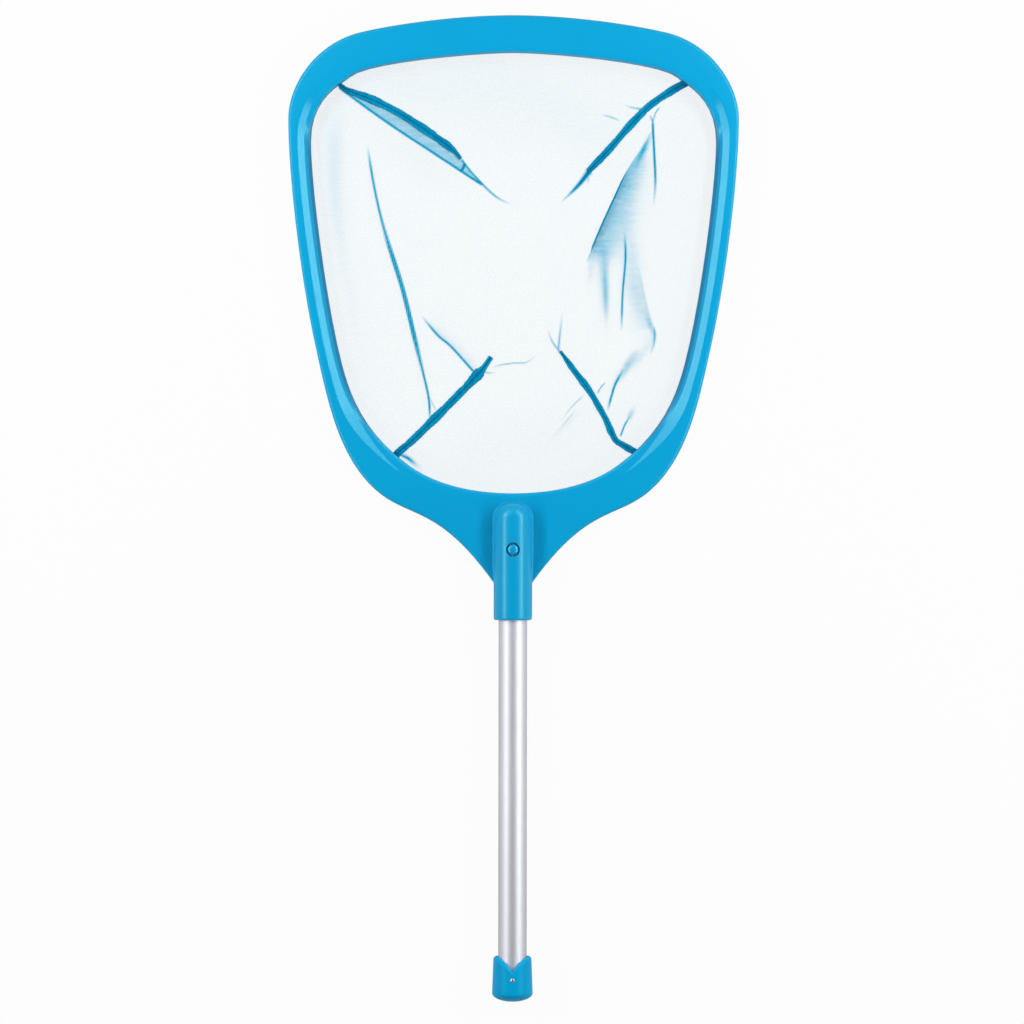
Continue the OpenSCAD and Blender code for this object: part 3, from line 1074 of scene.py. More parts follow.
    def socket(self) -> bpy.types.Object:
        """Turns the domed socket and cuts its window.

        Returns:
            The socket's object.
        """
        s = self.sizes
        r = s.socket_r
        y = s.mouth_y
        profile = [(s.bore_r + 0.7, y + 0.05), (14.9, y), (15.6, y + 0.12), (16.2, y + 0.5),
                   (16.6, y + 1.1), (16.8, y + 1.9)]
        profile += [(r, y + 3.2), (r, -60.0), (r, -30.0), (r, s.dome_y)]
        for i in range(1, 19):
            side, along = self.shape.dome(r, math.pi / 2 * i / 18)
            profile.append((round(side, 6), along))
        profile += [(0.0, s.bore_end), (s.bore_r - 0.6, s.bore_end), (s.bore_r, s.bore_end - 0.6)]
        profile += [(s.bore_r, -60.0), (s.bore_r, y + 0.75)]
        draft = Draft("head_socket")
        draft.lathe(profile, (0, 0, s.axis_z), "y", 128)
        made = draft.make(Body.SKIMMER, self.material, 30)
        cutter = Draft("window_cutter")
        w = s.window_r
        flare = [(0.0, 4.0), (w, 4.0), (w, 15.0), (w + 0.05, 15.7), (w + 0.5, 16.9), (w + 1.2, 18.6),
                 (0.0, 18.6)]
        cutter.lathe(flare, (0, s.button_y, s.axis_z), "z", 64)
        carve(made, [cutter], 30)
        return made

    def fillet(self, draft: Draft) -> None:
        """Adds the small raised margin round the socket's foot on the web.

        Args:
            draft: Where the faces go.
        """
        s = self.sizes
        foot = s.socket_r - 0.05
        path = [(foot, y) for y in np.linspace(s.neck_y + 1.2, s.dome_y, 40)]
        path += [self.shape.dome(foot, a) for a in np.linspace(0, math.pi / 2, 26)[1:]]
        path += [(-x, y) for x, y in path[-2::-1]]
        path = np.array(path)
        t = tangents(path)
        out = np.stack([t[:, 1], -t[:, 0]], axis=1)
        rings = []
        for i, p in enumerate(path):
            start = float(ramp(-66.0, -52.0, p[1]))
            reach = 0.25 + 0.95 * start
            rise = 0.3 + 0.7 * start
            ring = []
            for a in (0, 15, 30, 45, 60, 75, 90):
                q = math.radians(a)
                off = reach * (1 - math.sin(q))
                up = rise * (1 - math.cos(q))
                ring.append((*(p + out[i] * off), s.height + up))
            ring.append((*(p - out[i] * 0.6), s.height + rise))
            ring.append((*(p - out[i] * 0.6), s.height - 0.6))
            ring.append((*(p + out[i] * reach), s.height - 0.6))
            rings.append(ring)
        draft.sweep(rings, caps=True)

    def underside(self, draft: Draft) -> None:
        """Adds the screw bosses and the web's ribs.

        Args:
            draft: Where the faces go.
        """
        s = self.sizes
        mouth = self.shape.mouth(10)
        inset = self.shape.grown(mouth, s.boss_in)
        count = len(mouth)
        spots = [5, 14, 21, 30, 39, 46]
        for k in spots + [count - k for k in spots]:
            x, y = inset[k]
            profile = [(s.boss_hole, s.boss_low), (s.boss_r - 0.4, s.boss_low)]
            profile += [(s.boss_r, s.boss_low + 0.4), (s.boss_r, s.boss_top - 0.6)]
            profile += [(s.boss_r + 0.8, s.boss_top), (s.boss_hole, s.boss_top)]
            draft.lathe(profile, (x, y, 0), "z", 32)
        n = s.steps
        rows = self.stations()
        for k in (int(share * n) for share in s.rib_shares):
            for mirror in (1, -1):
                a, b = rows[k][0] * [mirror, 1], rows[k][1] * [mirror, 1]
                u = (b - a) / np.hypot(*(b - a))
                v = np.array([-u[1], u[0]])
                reach = float(np.hypot(*(b - a))) - s.rail
                rings = []
                for at in (s.wall / 2, reach):
                    p = a + u * at
                    low = 1.5 if at < 5 else 3.0
                    half, root = s.rib_half, s.rib_half + 0.2
                    corners = ((-half, low), (half, low), (root, s.rib_top), (-root, s.rib_top))
                    ring = [(*(p + v * q), z) for q, z in corners]
                    rings.append(ring)
                draft.sweep(rings, caps=True)

    def build(self) -> None:
        """Makes the moulding's pieces."""
        draft = Draft("head_rim")
        self.rim(draft)
        self.closing_wall(draft)
        self.fillet(draft)
        self.underside(draft)
        draft.value("shade", 0.0)
        rim = draft.make(Body.SKIMMER, self.material, 28)
        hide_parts("head_frame")
        self.socket()


@dataclass(frozen=True)
class Crease:
    """A fold of the mesh: where it runs, how dark it is, the painted shade on one side of it and how far it
    rises.
    """

    points: tuple
    half: float = 0.7
    depth: float = 0.8
    fade_in: float = 0.25
    fade_out: float = 0.25
    edge: float = 0.0
    side: float = 0.0
    side_painted_shade: float = 0.0
    rise: float = 0.8
    pleat: float = 0.0
    taper: float = 0.0


CREASES = (
    Crease(
        ((-154.6, 370.4), (-129.9, 352.0), (-103.6, 333.6), (-78.1, 316.9), (-52.6, 300.2),
         (-24.5, 281.8)),
        0.75, 0.85, 0.02, 0.05, rise=1.2,
    ),
    Crease(((-45.6, 306.4), (-36.8, 295.0), (-24.5, 281.8)), 0.6, 0.75, 0.02, 0.1, rise=0.8),
    Crease(((-43.0, 303.5), (-44.0, 299.0), (-47.0, 295.5)), 1.0, 0.7, 0.1, 0.2, rise=0.6),
    Crease(((-26.5, 283.5), (-15.7, 273.9), (-6.0, 268.7), (1.0, 266.2)), 0.65, 0.8, 0.05, 0.75, rise=0.8),
    Crease(
        ((67.0, 296.5), (60.2, 287.6), (52.6, 279.2), (38.7, 266.0)), 2.3, 1.0, 0.02, 0.7, rise=1.0,
        taper=0.85,
    ),
    Crease(((65.9, 295.2), (65.9, 281.8)), 0.5, 0.35, 0.1, 0.7),
    Crease(((113.9, 350.6), (104.0, 352.2), (95.2, 355.0)), 0.7, 0.5, 0.1, 0.8),
    Crease(((95.3, 339.7), (86.0, 343.6), (74.9, 346.2)), 0.8, 0.3, 0.4, 0.5),
    Crease(((128.8, 352.9), (124.6, 347.0), (122.2, 338.8)), 0.55, 0.55, 0.2, 0.1),
    Crease(((120.1, 345.5), (122.2, 338.8)), 0.5, 0.6, 0.2, 0.1),
    Crease(
        ((122.2, 340.5), (122.9, 325.0), (123.7, 310.8), (124.6, 286.2), (123.0, 262.3)),
        0.85, 0.95, 0.04, 0.5, rise=1.4,
    ),
    Crease(((121.2, 333.0), (118.0, 323.0), (110.5, 306.0), (103.0, 293.0)), 2.4, 0.36, 0.5, 0.7, rise=0.8),
    Crease(
        ((116.0, 322.0), (107.8, 309.5), (99.6, 296.2), (88.7, 272.5), (78.2, 249.5), (67.4, 224.0),
         (63.5, 215.0)),
        0.8, 0.8, 0.4, 0.16, side=9.0, side_painted_shade=0.72, rise=3.0, pleat=1.0,
    ),
    Crease(((80.1, 235.3), (80.1, 219.5), (81.1, 191.5), (82.0, 160.2)), 3.0, 0.2, 0.5, 0.5, rise=1.6),
    Crease(((97.6, 246.1), (98.5, 219.5), (96.0, 188.0), (95.0, 153.0)), 0.75, 0.85, 0.25, 0.25, rise=1.4),
    Crease(
        ((107.0, 224.0), (111.6, 205.4), (115.3, 186.7), (120.1, 168.0), (123.8, 154.9)),
        1.2, 0.06, 0.6, 0.1, side=-9.0, side_painted_shade=0.2, rise=1.0,
    ),
    Crease(
        ((121.9, 163.0), (124.3, 153.8), (123.4, 144.0), (119.9, 133.6)),
        0.9, 0.5, 0.3, 0.6, side=-7.0, side_painted_shade=0.12,
    ),
    Crease(((98.0, 123.9), (90.1, 109.9), (86.2, 98.0), (82.6, 84.0)), 0.9, 0.8, 0.4, 0.3, rise=1.4),
    Crease(((112.0, 142.0), (104.0, 132.0), (97.0, 122.0)), 3.0, 0.14, 0.5, 0.3),
    Crease(((82.2, 111.6), (77.6, 107.0), (73.5, 100.2)), 0.6, 0.5, 0.4, 0.2),
    Crease(((105.5, 86.5), (101.3, 78.7), (98.0, 73.0), (94.2, 63.0)), 0.65, 0.75, 0.6, 0.05),
    Crease(((105.3, 88.0), (103.3, 83.0), (101.0, 78.0)), 1.8, 0.14, 0.6, 0.2),
    Crease(((63.8, 100.6), (51.6, 89.2), (40.3, 73.9)), 0.7, 0.22, 0.2, 0.7),
    Crease(((56.8, 88.6), (45.6, 75.2), (34.3, 61.9)), 1.0, 0.1, 0.3, 0.7),
    Crease(((41.9, 136.5), (40.0, 138.6), (34.0, 147.0), (29.4, 160.0)), 0.6, 0.6, 0.1, 0.75),
    Crease(((41.7, 136.5), (39.8, 139.6), (41.5, 158.0), (43.4, 175.1)), 0.9, 0.5, 0.1, 0.8),
    Crease(
        ((-82.0, 170.4), (-67.0, 152.4), (-54.4, 141.5), (-34.5, 119.5)),
        0.75, 0.85, 0.3, 0.03, side=4.0, side_painted_shade=0.24, rise=1.6,
    ),
    Crease(
        ((-20.5, 123.1), (-11.7, 125.7), (0.0, 127.4), (12.0, 128.3), (22.5, 136.2)),
        0.5, 0.48, 0.3, 0.5,
    ),
    Crease(((-26.0, 120.0), (-20.0, 118.5), (-14.0, 119.5)), 0.5, 0.5, 0.1, 0.7),
    Crease(
        ((-128.8, 320.8), (-123.6, 288.8), (-117.8, 261.1), (-110.3, 233.6), (-97.0, 191.5),
         (-85.4, 144.1), (-77.0, 109.9), (-73.9, 94.1), (-73.0, 74.0)),
        0.95, 0.75, 0.1, 0.06, rise=2.8,
    ),
    Crease(
        ((-117.8, 261.1), (-110.3, 233.6), (-97.0, 191.5), (-85.4, 144.1), (-77.0, 109.9)),
        1.5, 0.4, 0.3, 0.3, edge=0.55,
    ),
    Crease(((-75.5, 101.0), (-70.0, 90.0), (-66.0, 82.0)), 0.5, 0.3, 0.2, 0.4),
    Crease(((-152.8, 358.1), (-156.9, 288.0), (-147.9, 207.8)), 7.0, 0.035, 0.3, 0.4, rise=1.2),
    Crease(((-99.2, 46.7), (-92.0, 43.5), (-84.0, 37.0)), 1.3, 0.5, 0.1, 0.6),
)

PANEL = ((-156.0, 372.0), (-124.0, 358.0), (-101.0, 347.0), (-74.0, 329.0), (-54.4, 315.0), (-45.6, 306.4),
         (-36.8, 295.0), (-24.5, 281.8), (-52.6, 300.2), (-78.1, 316.9), (-103.6, 333.6), (-129.9, 352.0))


@dataclass(frozen=True)
class ShadePatch:
    """A soft patch of painted shade on the mesh; some lie beside the folds, some near the frame."""

    at: tuple
    along: float
    across: float
    turn: float
    depth: float
    right_of_fold: bool = False


FOLD = (
    (126.0, 341.0), (116.0, 322.0), (107.8, 309.5), (99.6, 296.2), (88.7, 272.5), (78.2, 249.5),
    (67.4, 224.0), (58.0, 200.0), (50.0, 170.0)
)

# Painted shade: soft patches beside the folds, and broad faint ones near the frame.
SHADE_PATCHES = (
    ShadePatch((115.0, 319.5), 15.0, 2.6, 69.0, 0.42, True),
    ShadePatch((105.0, 292.0), 22.0, 7.0, 66.0, 0.2, True),
    ShadePatch((92.0, 250.0), 24.0, 12.0, 66.0, 0.16, True),
    ShadePatch((80.0, 224.0), 16.0, 8.0, 70.0, 0.14, True),
    ShadePatch((79.2, 203.0), 30.0, 5.0, 91.0, 0.12, True),
    ShadePatch((81.0, 186.6), 20.0, 1.7, 92.0, 0.24, True),
    ShadePatch((67.8, 211.0), 12.0, 3.0, 88.0, 0.12, True),
    ShadePatch((104.0, 214.0), 34.0, 9.0, 95.0, 0.15),
    ShadePatch((110.0, 178.0), 24.0, 6.0, 106.0, 0.07),
    ShadePatch((120.3, 161.0), 9.0, 2.0, 110.0, 0.24),
    ShadePatch((111.0, 133.0), 15.0, 4.0, 52.0, 0.14),
    ShadePatch((97.0, 120.5), 11.0, 3.0, 55.0, 0.34),
    ShadePatch((104.3, 84.0), 6.0, 2.8, 65.0, 0.14),
    ShadePatch((47.6, 74.0), 17.0, 2.4, 45.0, 0.06),
    ShadePatch((-90.5, 42.0), 10.0, 2.4, 140.0, 0.3),
    ShadePatch((-158.0, 300.0), 60.0, 9.0, 92.0, 0.05),
    ShadePatch((-146.0, 200.0), 50.0, 6.0, 100.0, 0.035),
    ShadePatch((-40.0, 362.0), 120.0, 34.0, 172.0, 0.035),
    ShadePatch((70.0, 330.0), 60.0, 24.0, 150.0, 0.03),
    ShadePatch((-84.0, 310.0), 40.0, 16.0, 148.0, 0.03),
    ShadePatch((20.0, 60.0), 80.0, 30.0, 10.0, 0.025),
)


@dataclass(frozen=True)
class NetSizes:
    """Sizes of the mesh bag, in millimetres."""

    hem: float = 7.3
    hem_z: float = 3.45
    floor_z: float = 0.75
    wall: float = 6.0
    columns: int = 400
    rows: int = 450
    swell: float = 1.3
    pleat_width: float = 2.6
    panel_shade: float = 0.46


class NetBag:
    """The mesh bag as it has settled in its mouth, with its folds and gathered creases."""

    def __init__(self, shape: HeadShape, sizes: NetSizes, finish: MeshFinish) -> None:
        """Args:
            shape: Shared outlines.
            sizes: Sizes of the bag.
            finish: Finish of the mesh.
        """
        self.shape = shape
        self.sizes = sizes
        self.material = finish.build()

    def flat_grid(self) -> np.ndarray:
        """Grid of points over the cut sheet.

        Returns:
            Array of rows of points.
        """
        s = self.sizes
        mouth = self.shape.mouth(24)
        hem = self.shape.grown(mouth, s.hem)
        right = hem[: len(hem) // 2 + 1]
        order = np.argsort(right[:, 1])
        ys = right[order, 1]
        xs = np.maximum(right[order, 0], 0)
        t = np.linspace(0, 1, s.rows)
        t = 0.75 * t + 0.25 * (0.5 - 0.5 * np.cos(math.pi * t))
        y = ys[0] + (ys[-1] - ys[0]) * t
        half = np.interp(y, ys, xs)
        half[0] = half[-1] = 2.0
        u = np.linspace(-1, 1, s.columns)
        return np.stack([half[:, None] * u[None, :], np.broadcast_to(y[:, None], (s.rows, s.columns))],
                        axis=2)

    @staticmethod
    def window(share: np.ndarray, crease: Crease) -> np.ndarray:
        """Fades a crease at its ends.

        Args:
            share: Share of the crease's length.
            crease: The crease.

        Returns:
            Strength from 0 to 1.
        """
        start = ramp(-0.001, max(crease.fade_in, 0.01), share)
        end = 1 - ramp(1 - max(crease.fade_out, 0.01), 1.001, share)
        return start * end

    def build(self) -> bpy.types.Object:
        """Makes the mesh bag.

        Returns:
            The bag's object.
        """
        s = self.sizes
        grid = self.flat_grid()
        flat = grid.reshape(-1, 2)
        mouth = self.shape.mouth(14)
        ring = np.vstack([mouth, mouth[:1]])
        edge_off, _ = to_lines(flat, ring)
        inside = -edge_off
        gather, shade, rise, moved = self.creased(flat)
        shade = self.add_shade_and_panel(flat, shade)
        z = self.rest(flat, inside, rise)
        moved = np.where(inside[:, None] > 3.0, moved, flat)
        draft = Draft("net_mesh")
        points = np.concatenate([moved, z[:, None]], axis=1).reshape(s.rows, s.columns, 3)
        draft.sweep(points, closed_ring=False)
        draft.value("gather", np.clip(gather, 0, 1))
        # Painted shade: a faint extra shade that grows towards the mouth's edge, where the frame stands
        # over the mesh.
        draft.value("shade", shade + 0.02 * ramp(60, 0, inside) * (inside > 0))
        made = draft.make(Body.SKIMMER, self.material, 180)
        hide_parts("net_bag")
        self.height = (flat, z)
        return made

    def creased(self, flat: np.ndarray) -> tuple:
        """Gathers the sheet along its creases.

        Args:
            flat: Points of the flat sheet.

        Returns:
            How far each point is gathered, its shade, its rise and where it has moved to.
        """
        s = self.sizes
        gather = np.zeros(len(flat))
        shade = np.zeros(len(flat))
        rise = np.zeros(len(flat))
        moved = flat.copy()
        for crease in CREASES:
            path = spline(list(crease.points), 2.0)
            reach = 4 * crease.half + abs(crease.side) * 2.5 + 14
            low = path.min(axis=0) - reach
            high = path.max(axis=0) + reach
            near = np.all((flat > low) & (flat < high), axis=1)
            off, share = to_lines(flat[near], path)
            fade = self.window(share, crease)
            half = crease.half * (1 - crease.taper * share)
            core = crease.depth * np.exp(-((off / half) ** 2))
            if crease.edge:
                core = crease.depth * np.exp(-((off / half) ** 4))
                core = core + crease.edge * np.exp(-(((np.abs(off) - half) / 0.5) ** 2))
            gather[near] = np.maximum(gather[near], core * fade)
            # Painted shade on one side of the fold, fading away from it.
            if crease.side:
                on = ramp(-0.6, 0.6, off * math.copysign(1, crease.side))
                soft = crease.side_painted_shade * on * np.exp(-np.abs(off / crease.side))
                shade[near] = np.maximum(shade[near], soft * fade)
            rise[near] += crease.rise * fade * np.exp(-((off / (crease.half + 2.2)) ** 2))
            if crease.pleat:
                wide = s.pleat_width * crease.pleat
                bell = np.exp(-(off ** 2) / (2 * wide * wide))
                step = path[np.clip((share * (len(path) - 1)).astype(int), 0, len(path) - 2)]
                after = path[np.clip((share * (len(path) - 1)).astype(int) + 1, 1, len(path) - 1)]
                u = after - step
                u /= np.maximum(np.hypot(u[:, 0], u[:, 1])[:, None], 1e-9)
                normal = np.stack([-u[:, 1], u[:, 0]], axis=1)
                moved[near] += normal * (-2.0 * off * bell * fade)[:, None]
                rise[near] += 0.9 * fade * bell * np.tanh(-off / wide)
        return gather, shade, rise, moved

    def add_shade_and_panel(self, flat: np.ndarray, shade: np.ndarray) -> np.ndarray:
        """Adds the painted shade of the soft patches, and the deeper tone of the panel that lies double.

        Args:
            flat: Points of the flat sheet.
            shade: Their shade so far.

        Returns:
            Their new shade.
        """
        beside, _ = to_lines(flat, np.asarray(FOLD))
        after_fold = ramp(-0.4, 0.5, beside)
        # Painted shade from each patch; those marked right_of_fold only on the right side of the big fold.
        for shade_patch in SHADE_PATCHES:
            a = math.radians(shade_patch.turn)
            v = flat - np.asarray(shade_patch.at)
            along = (v[:, 0] * math.cos(a) + v[:, 1] * math.sin(a)) / shade_patch.along
            across = (v[:, 1] * math.cos(a) - v[:, 0] * math.sin(a)) / shade_patch.across
            soft = shade_patch.depth * np.exp(-(along ** 2) - across ** 2)
            shade = shade + (soft * after_fold if shade_patch.right_of_fold else soft)
        hit = np.zeros(len(flat), bool)
        panel = np.asarray(PANEL)
        for i in range(len(panel)):
            a = panel[i]
            b = panel[(i + 1) % len(panel)]
            cross = (a[1] > flat[:, 1]) != (b[1] > flat[:, 1])
            with np.errstate(divide="ignore", invalid="ignore"):
                at = (b[0] - a[0]) * (flat[:, 1] - a[1]) / (b[1] - a[1]) + a[0]
            hit ^= cross & (flat[:, 0] < at)
        shade[hit] = np.maximum(shade[hit], self.sizes.panel_shade)
        return shade

    def rest(self, flat: np.ndarray, inside: np.ndarray, rise: np.ndarray) -> np.ndarray:
        """Height of the sheet as it lies in its mouth.

        Args:
            flat: Points of the flat sheet.
            inside: Their distance inside the mouth's edge.
            rise: How far the creases lift them.

        Returns:
            Heights.
        """
        s = self.sizes
        x, y = flat[:, 0], flat[:, 1]
        swell = np.sin(x / 41 + 0.6) * np.sin(y / 57 + 0.4) + 0.5 * np.sin((x + 0.7 * y) / 29 + 1.1)
        swell += 0.25 * np.sin((x - 1.3 * y) / 13 + 0.3)
        calm = ramp(2.0, 30.0, inside)
        z = s.hem_z + (s.floor_z - s.hem_z) * ramp(0.0, s.wall, inside)
        return z + calm * (s.swell * np.maximum(0, swell + 0.6) * 0.6 + np.maximum(rise, -0.2))

    def level(self, places: np.ndarray) -> np.ndarray:
        """Height of the mesh at some places.

        Args:
            places: Points of two numbers.

        Returns:
            Heights.
        """
        flat, z = self.height
        return np.array([z[np.argmin(((flat - p) ** 2).sum(axis=1))] for p in places])


@dataclass(frozen=True)
class SeamPlan:
    """One corner seam: its node, run, width, the share of the width that each end keeps, and its knob."""

    node: str
    points: tuple
    width: float
    start_width: float = 1.0
    end_width: float = 1.0
    knob: float = 0.0
    seed: int = 1


SEAMS = (
    SeamPlan(
        "seam_top_left",
        ((-155.6, 374.4), (-148.6, 368.6), (-138.4, 364.1), (-123.8, 358.6), (-101.0, 347.2),
         (-73.7, 329.6), (-54.4, 315.6), (-46.3, 306.8)),
        7.0, 0.5, 0.5, seed=3,
    ),
    SeamPlan(
        "seam_top_right",
        ((153.6, 374.8), (147.0, 371.6), (138.4, 366.6), (124.4, 357.3), (113.9, 348.6),
         (99.9, 333.6), (86.8, 318.4), (75.5, 306.2), (65.4, 296.0)),
        6.6, 1.1, 0.72, seed=5,
    ),
    SeamPlan(
        "seam_bottom_left",
        ((-104.4, 45.2), (-97.6, 51.6), (-86.9, 61.0), (-71.2, 76.4), (-54.8, 92.6), (-42.3, 105.5),
         (-32.7, 115.6), (-24.9, 124.8), (-19.4, 133.0)),
        7.2, 0.85, 0.62, knob=1.0, seed=7,
    ),
    SeamPlan(
        "seam_bottom_right",
        ((109.6, 47.8), (99.0, 54.2), (90.6, 59.4), (86.2, 67.0), (81.3, 78.3), (74.0, 91.4),
         (65.8, 104.9), (54.1, 120.3), (41.2, 138.0)),
        5.6, 1.1, 0.5, seed=9,
    ),
)


class CornerSeam:
    """An overlocked seam: two raised bands, a needle line between them and thread round its edges.

    SECTION holds the place across, the height and the painted light of each point of its section,
    lighter on the raised bands and darker towards the needle line and at the edges, STITCH the length
    of one stitch, and THREAD the radius of the thread, in millimetres. KNOB is the share of the length
    at which a knob stands and the ends narrow.
    """

    STITCH = 1.9
    THREAD = 0.26
    KNOB = 0.84
    SECTION = (
        (-0.5, 0.1, 0.2), (-0.49, 0.55, 0.35), (-0.42, 0.95, 0.85), (-0.33, 1.0, 0.8),
        (-0.2, 0.95, 0.45), (-0.07, 1.05, 0.3), (-0.025, 0.55, 0.0), (0.025, 0.55, 0.0),
        (0.07, 1.05, 0.3), (0.2, 0.95, 0.45), (0.33, 1.0, 0.75), (0.42, 0.95, 0.8),
        (0.49, 0.55, 0.35), (0.5, 0.1, 0.2),
    )

    def __init__(self, plan: SeamPlan, net: NetBag, material: bpy.types.Material) -> None:
        """Args:
            plan: Where the seam runs.
            net: The bag that carries it.
            material: Material of the thread.
        """
        self.plan = plan
        self.net = net
        self.material = material

    def build(self) -> bpy.types.Object:
        """Makes the seam.

        Returns:
            The seam's object.
        """
        plan = self.plan
        step = 0.9
        path = spline(list(plan.points), step)
        n = len(path)
        share = np.linspace(0, 1, n)
        rng = np.random.default_rng(plan.seed)
        rough = np.convolve(rng.normal(0, 1, n + 8), np.ones(5) / 5, "valid")[:n] * 0.07
        slow = 0.06 * np.sin(share * 17 + plan.seed) + 0.05 * np.sin(share * 31 + 2 * plan.seed)
        width = plan.width * (1 + rough + slow)
        width *= plan.start_width + (1 - plan.start_width) * ramp(0.0, 0.22, share)
        width *= 1 + (plan.end_width - 1) * ramp(self.KNOB, 1.0, share)
        if plan.knob:
            width *= 1 + 0.3 * np.exp(-(((share - self.KNOB) / 0.04) ** 2))
        t = tangents(path)
        side = np.stack([-t[:, 1], t[:, 0]], axis=1)
        path = path + side * (rough * 1.6)[:, None]
        base = np.convolve(np.pad(self.net.level(path), 4, mode="edge"), np.ones(9) / 9, "valid") + 0.35
        base = np.minimum(base, 2.6) + 0.5 * ramp(0.05, 0.0, share)
        # Painted shade: the seam is darker where it starts under the frame's edge.
        dark = ramp(0.0, 0.09, share) * 0.9 + 0.1
        foot = 0.6 + 0.4 * ramp(0.0, 0.06, share)
        draft = Draft(plan.node + "_overlock")
        rings = []
        tone_and_painted_light = []
        for i in range(n):
            thick = 0.95 + 0.25 * float(plan.knob > 0) * float(ramp(self.KNOB, 0.88, share[i]))
            thick *= foot[i]
            ring = []
            for off, up, light in self.SECTION:
                place = path[i] + side[i] * off * width[i]
                ring.append((place[0], place[1], base[i] + up * thick))
                tone_and_painted_light.append(light * dark[i])
            rings.append(ring)
        draft.sweep(rings, caps=True)
        draft.value("tone_and_painted_light", tone_and_painted_light)
        for edge in (-1, 1):
            loops = []
            steps = int(n * step / self.STITCH)
            for k in range(2 * steps + 1):
                at = k / (2 * steps) * (n - 1)
                i = int(at)
                out = 0.53 if k % 2 else 0.3
                out += float(rng.normal(0, 0.015))
                place = path[i] + side[i] * edge * out * width[i]
                rise = (0.45 if k % 2 else 1.2) * foot[i]
                loops.append((place[0], place[1], base[i] + rise))
            draft.tube(spline(loops, 0.6), self.THREAD, 5)
            draft.value("tone_and_painted_light", 0.55)
        made = draft.make(Body.SKIMMER, self.material, 60)
        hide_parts(plan.node)
        return made


@dataclass(frozen=True)
class HemSizes:
    """Sizes of the hem's tape and cord, in millimetres."""

    tape_near: float = 3.0
    tape_far: float = 7.3
    tape_low: float = 3.92
    tape_high: float = 4.6
    cord_out: float = 5.7
    cord_z: float = 6.3
    strands: int = 3
    strand_r: float = 0.74
    strand_out: float = 0.62
    turns: int = 150


class Hem:
    """The tape and the laid cord that hold the edge of the mesh behind the frame's inner wall."""

    def __init__(
        self, shape: HeadShape, sizes: HemSizes, tape: ThreadFinish, cord: ThreadFinish
    ) -> None:
        """Args:
            shape: Shared outlines.
            sizes: Sizes of the tape and the cord.
            tape: Finish of the tape.
            cord: Finish of the cord.
        """
        self.shape = shape
        self.sizes = sizes
        self.tape = tape.build()
        self.cord = cord.build()

    def build(self) -> None:
        """Makes the tape and the cord."""
        s = self.sizes
        mouth = self.shape.mouth(24)
        draft = Draft("hem_tape_woven")
        near = self.shape.grown(mouth, s.tape_near)
        far = self.shape.grown(mouth, s.tape_far)
        rings = []
        for i in range(len(mouth)):
            wave = 0.05 * math.sin(i * 1.7)
            edge = s.tape_high - 0.1 + wave
            ring = [(*near[i], s.tape_low), (*near[i], edge)]
            for f in (0.15, 0.5, 0.85):
                ring.append((*(near[i] + (far[i] - near[i]) * f), s.tape_high + wave))
            ring += [(*far[i], edge), (*far[i], s.tape_low)]
            rings.append(ring)
        draft.sweep(rings, closed_path=True)
        draft.value("tone_and_painted_light", 0.5)
        tape = draft.make(Body.SKIMMER, self.tape, 50)
        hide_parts("hem_tape")
        draft = Draft("hem_cord_laid")
        centre = self.shape.grown(mouth, s.cord_out)
        loop = spline(list(centre) + [centre[0]], 1.6)[:-1]
        t = tangents(loop, closed=True)
        out = np.stack([-t[:, 1], t[:, 0]], axis=1)
        for k in range(s.strands):
            a = 2 * math.pi * (s.turns * np.arange(len(loop)) / len(loop) + k / s.strands)
            flat = loop + out * (s.strand_out * np.cos(a))[:, None]
            path = np.concatenate([flat, (s.cord_z + s.strand_out * np.sin(a))[:, None]], axis=1)
            draft.tube(path, s.strand_r, 6, closed=True)
            draft.value("tone_and_painted_light", 0.3 + 0.2 * k)
        cord = draft.make(Body.SKIMMER, self.cord, 70)
        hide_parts("hem_cord")


@dataclass(frozen=True)
class PoleSizes:
    """Sizes of the pole end, its cap, its button and its rivet, in millimetres."""

    axis_z: float = 17.8
    radius: float = 12.5
    bore: float = 11.3
    low: float = -424.2
    high: float = -20.0
    end_y: float = -432.0
    button_y: float = -36.3
    button_hole: float = 4.85
    rivet_at: float = 19.8
    rivet_hole: float = 1.3
    plug_l: float = 30.0
    well_r: float = 6.35
    well_floor: float = -0.99
    cap_r: float = 17.8
    cap_mouth_r: float = 16.75
    cap_l: float = 40.0
    cap_dome: float = 7.4
    cap_bore: float = 12.75
    cap_floor: float = 7.7
    lip: float = 3.3
    cap_side: float = 36.0
    notch: tuple = (12.9, -1.45, 0.035)
    spring_r: float = 2.9
    spring_low: float = -0.536
    spring_high: float = 12.364
    spring_turns: float = 7.0
    spring_closed: float = 0.85
    wire_r: float = 0.4


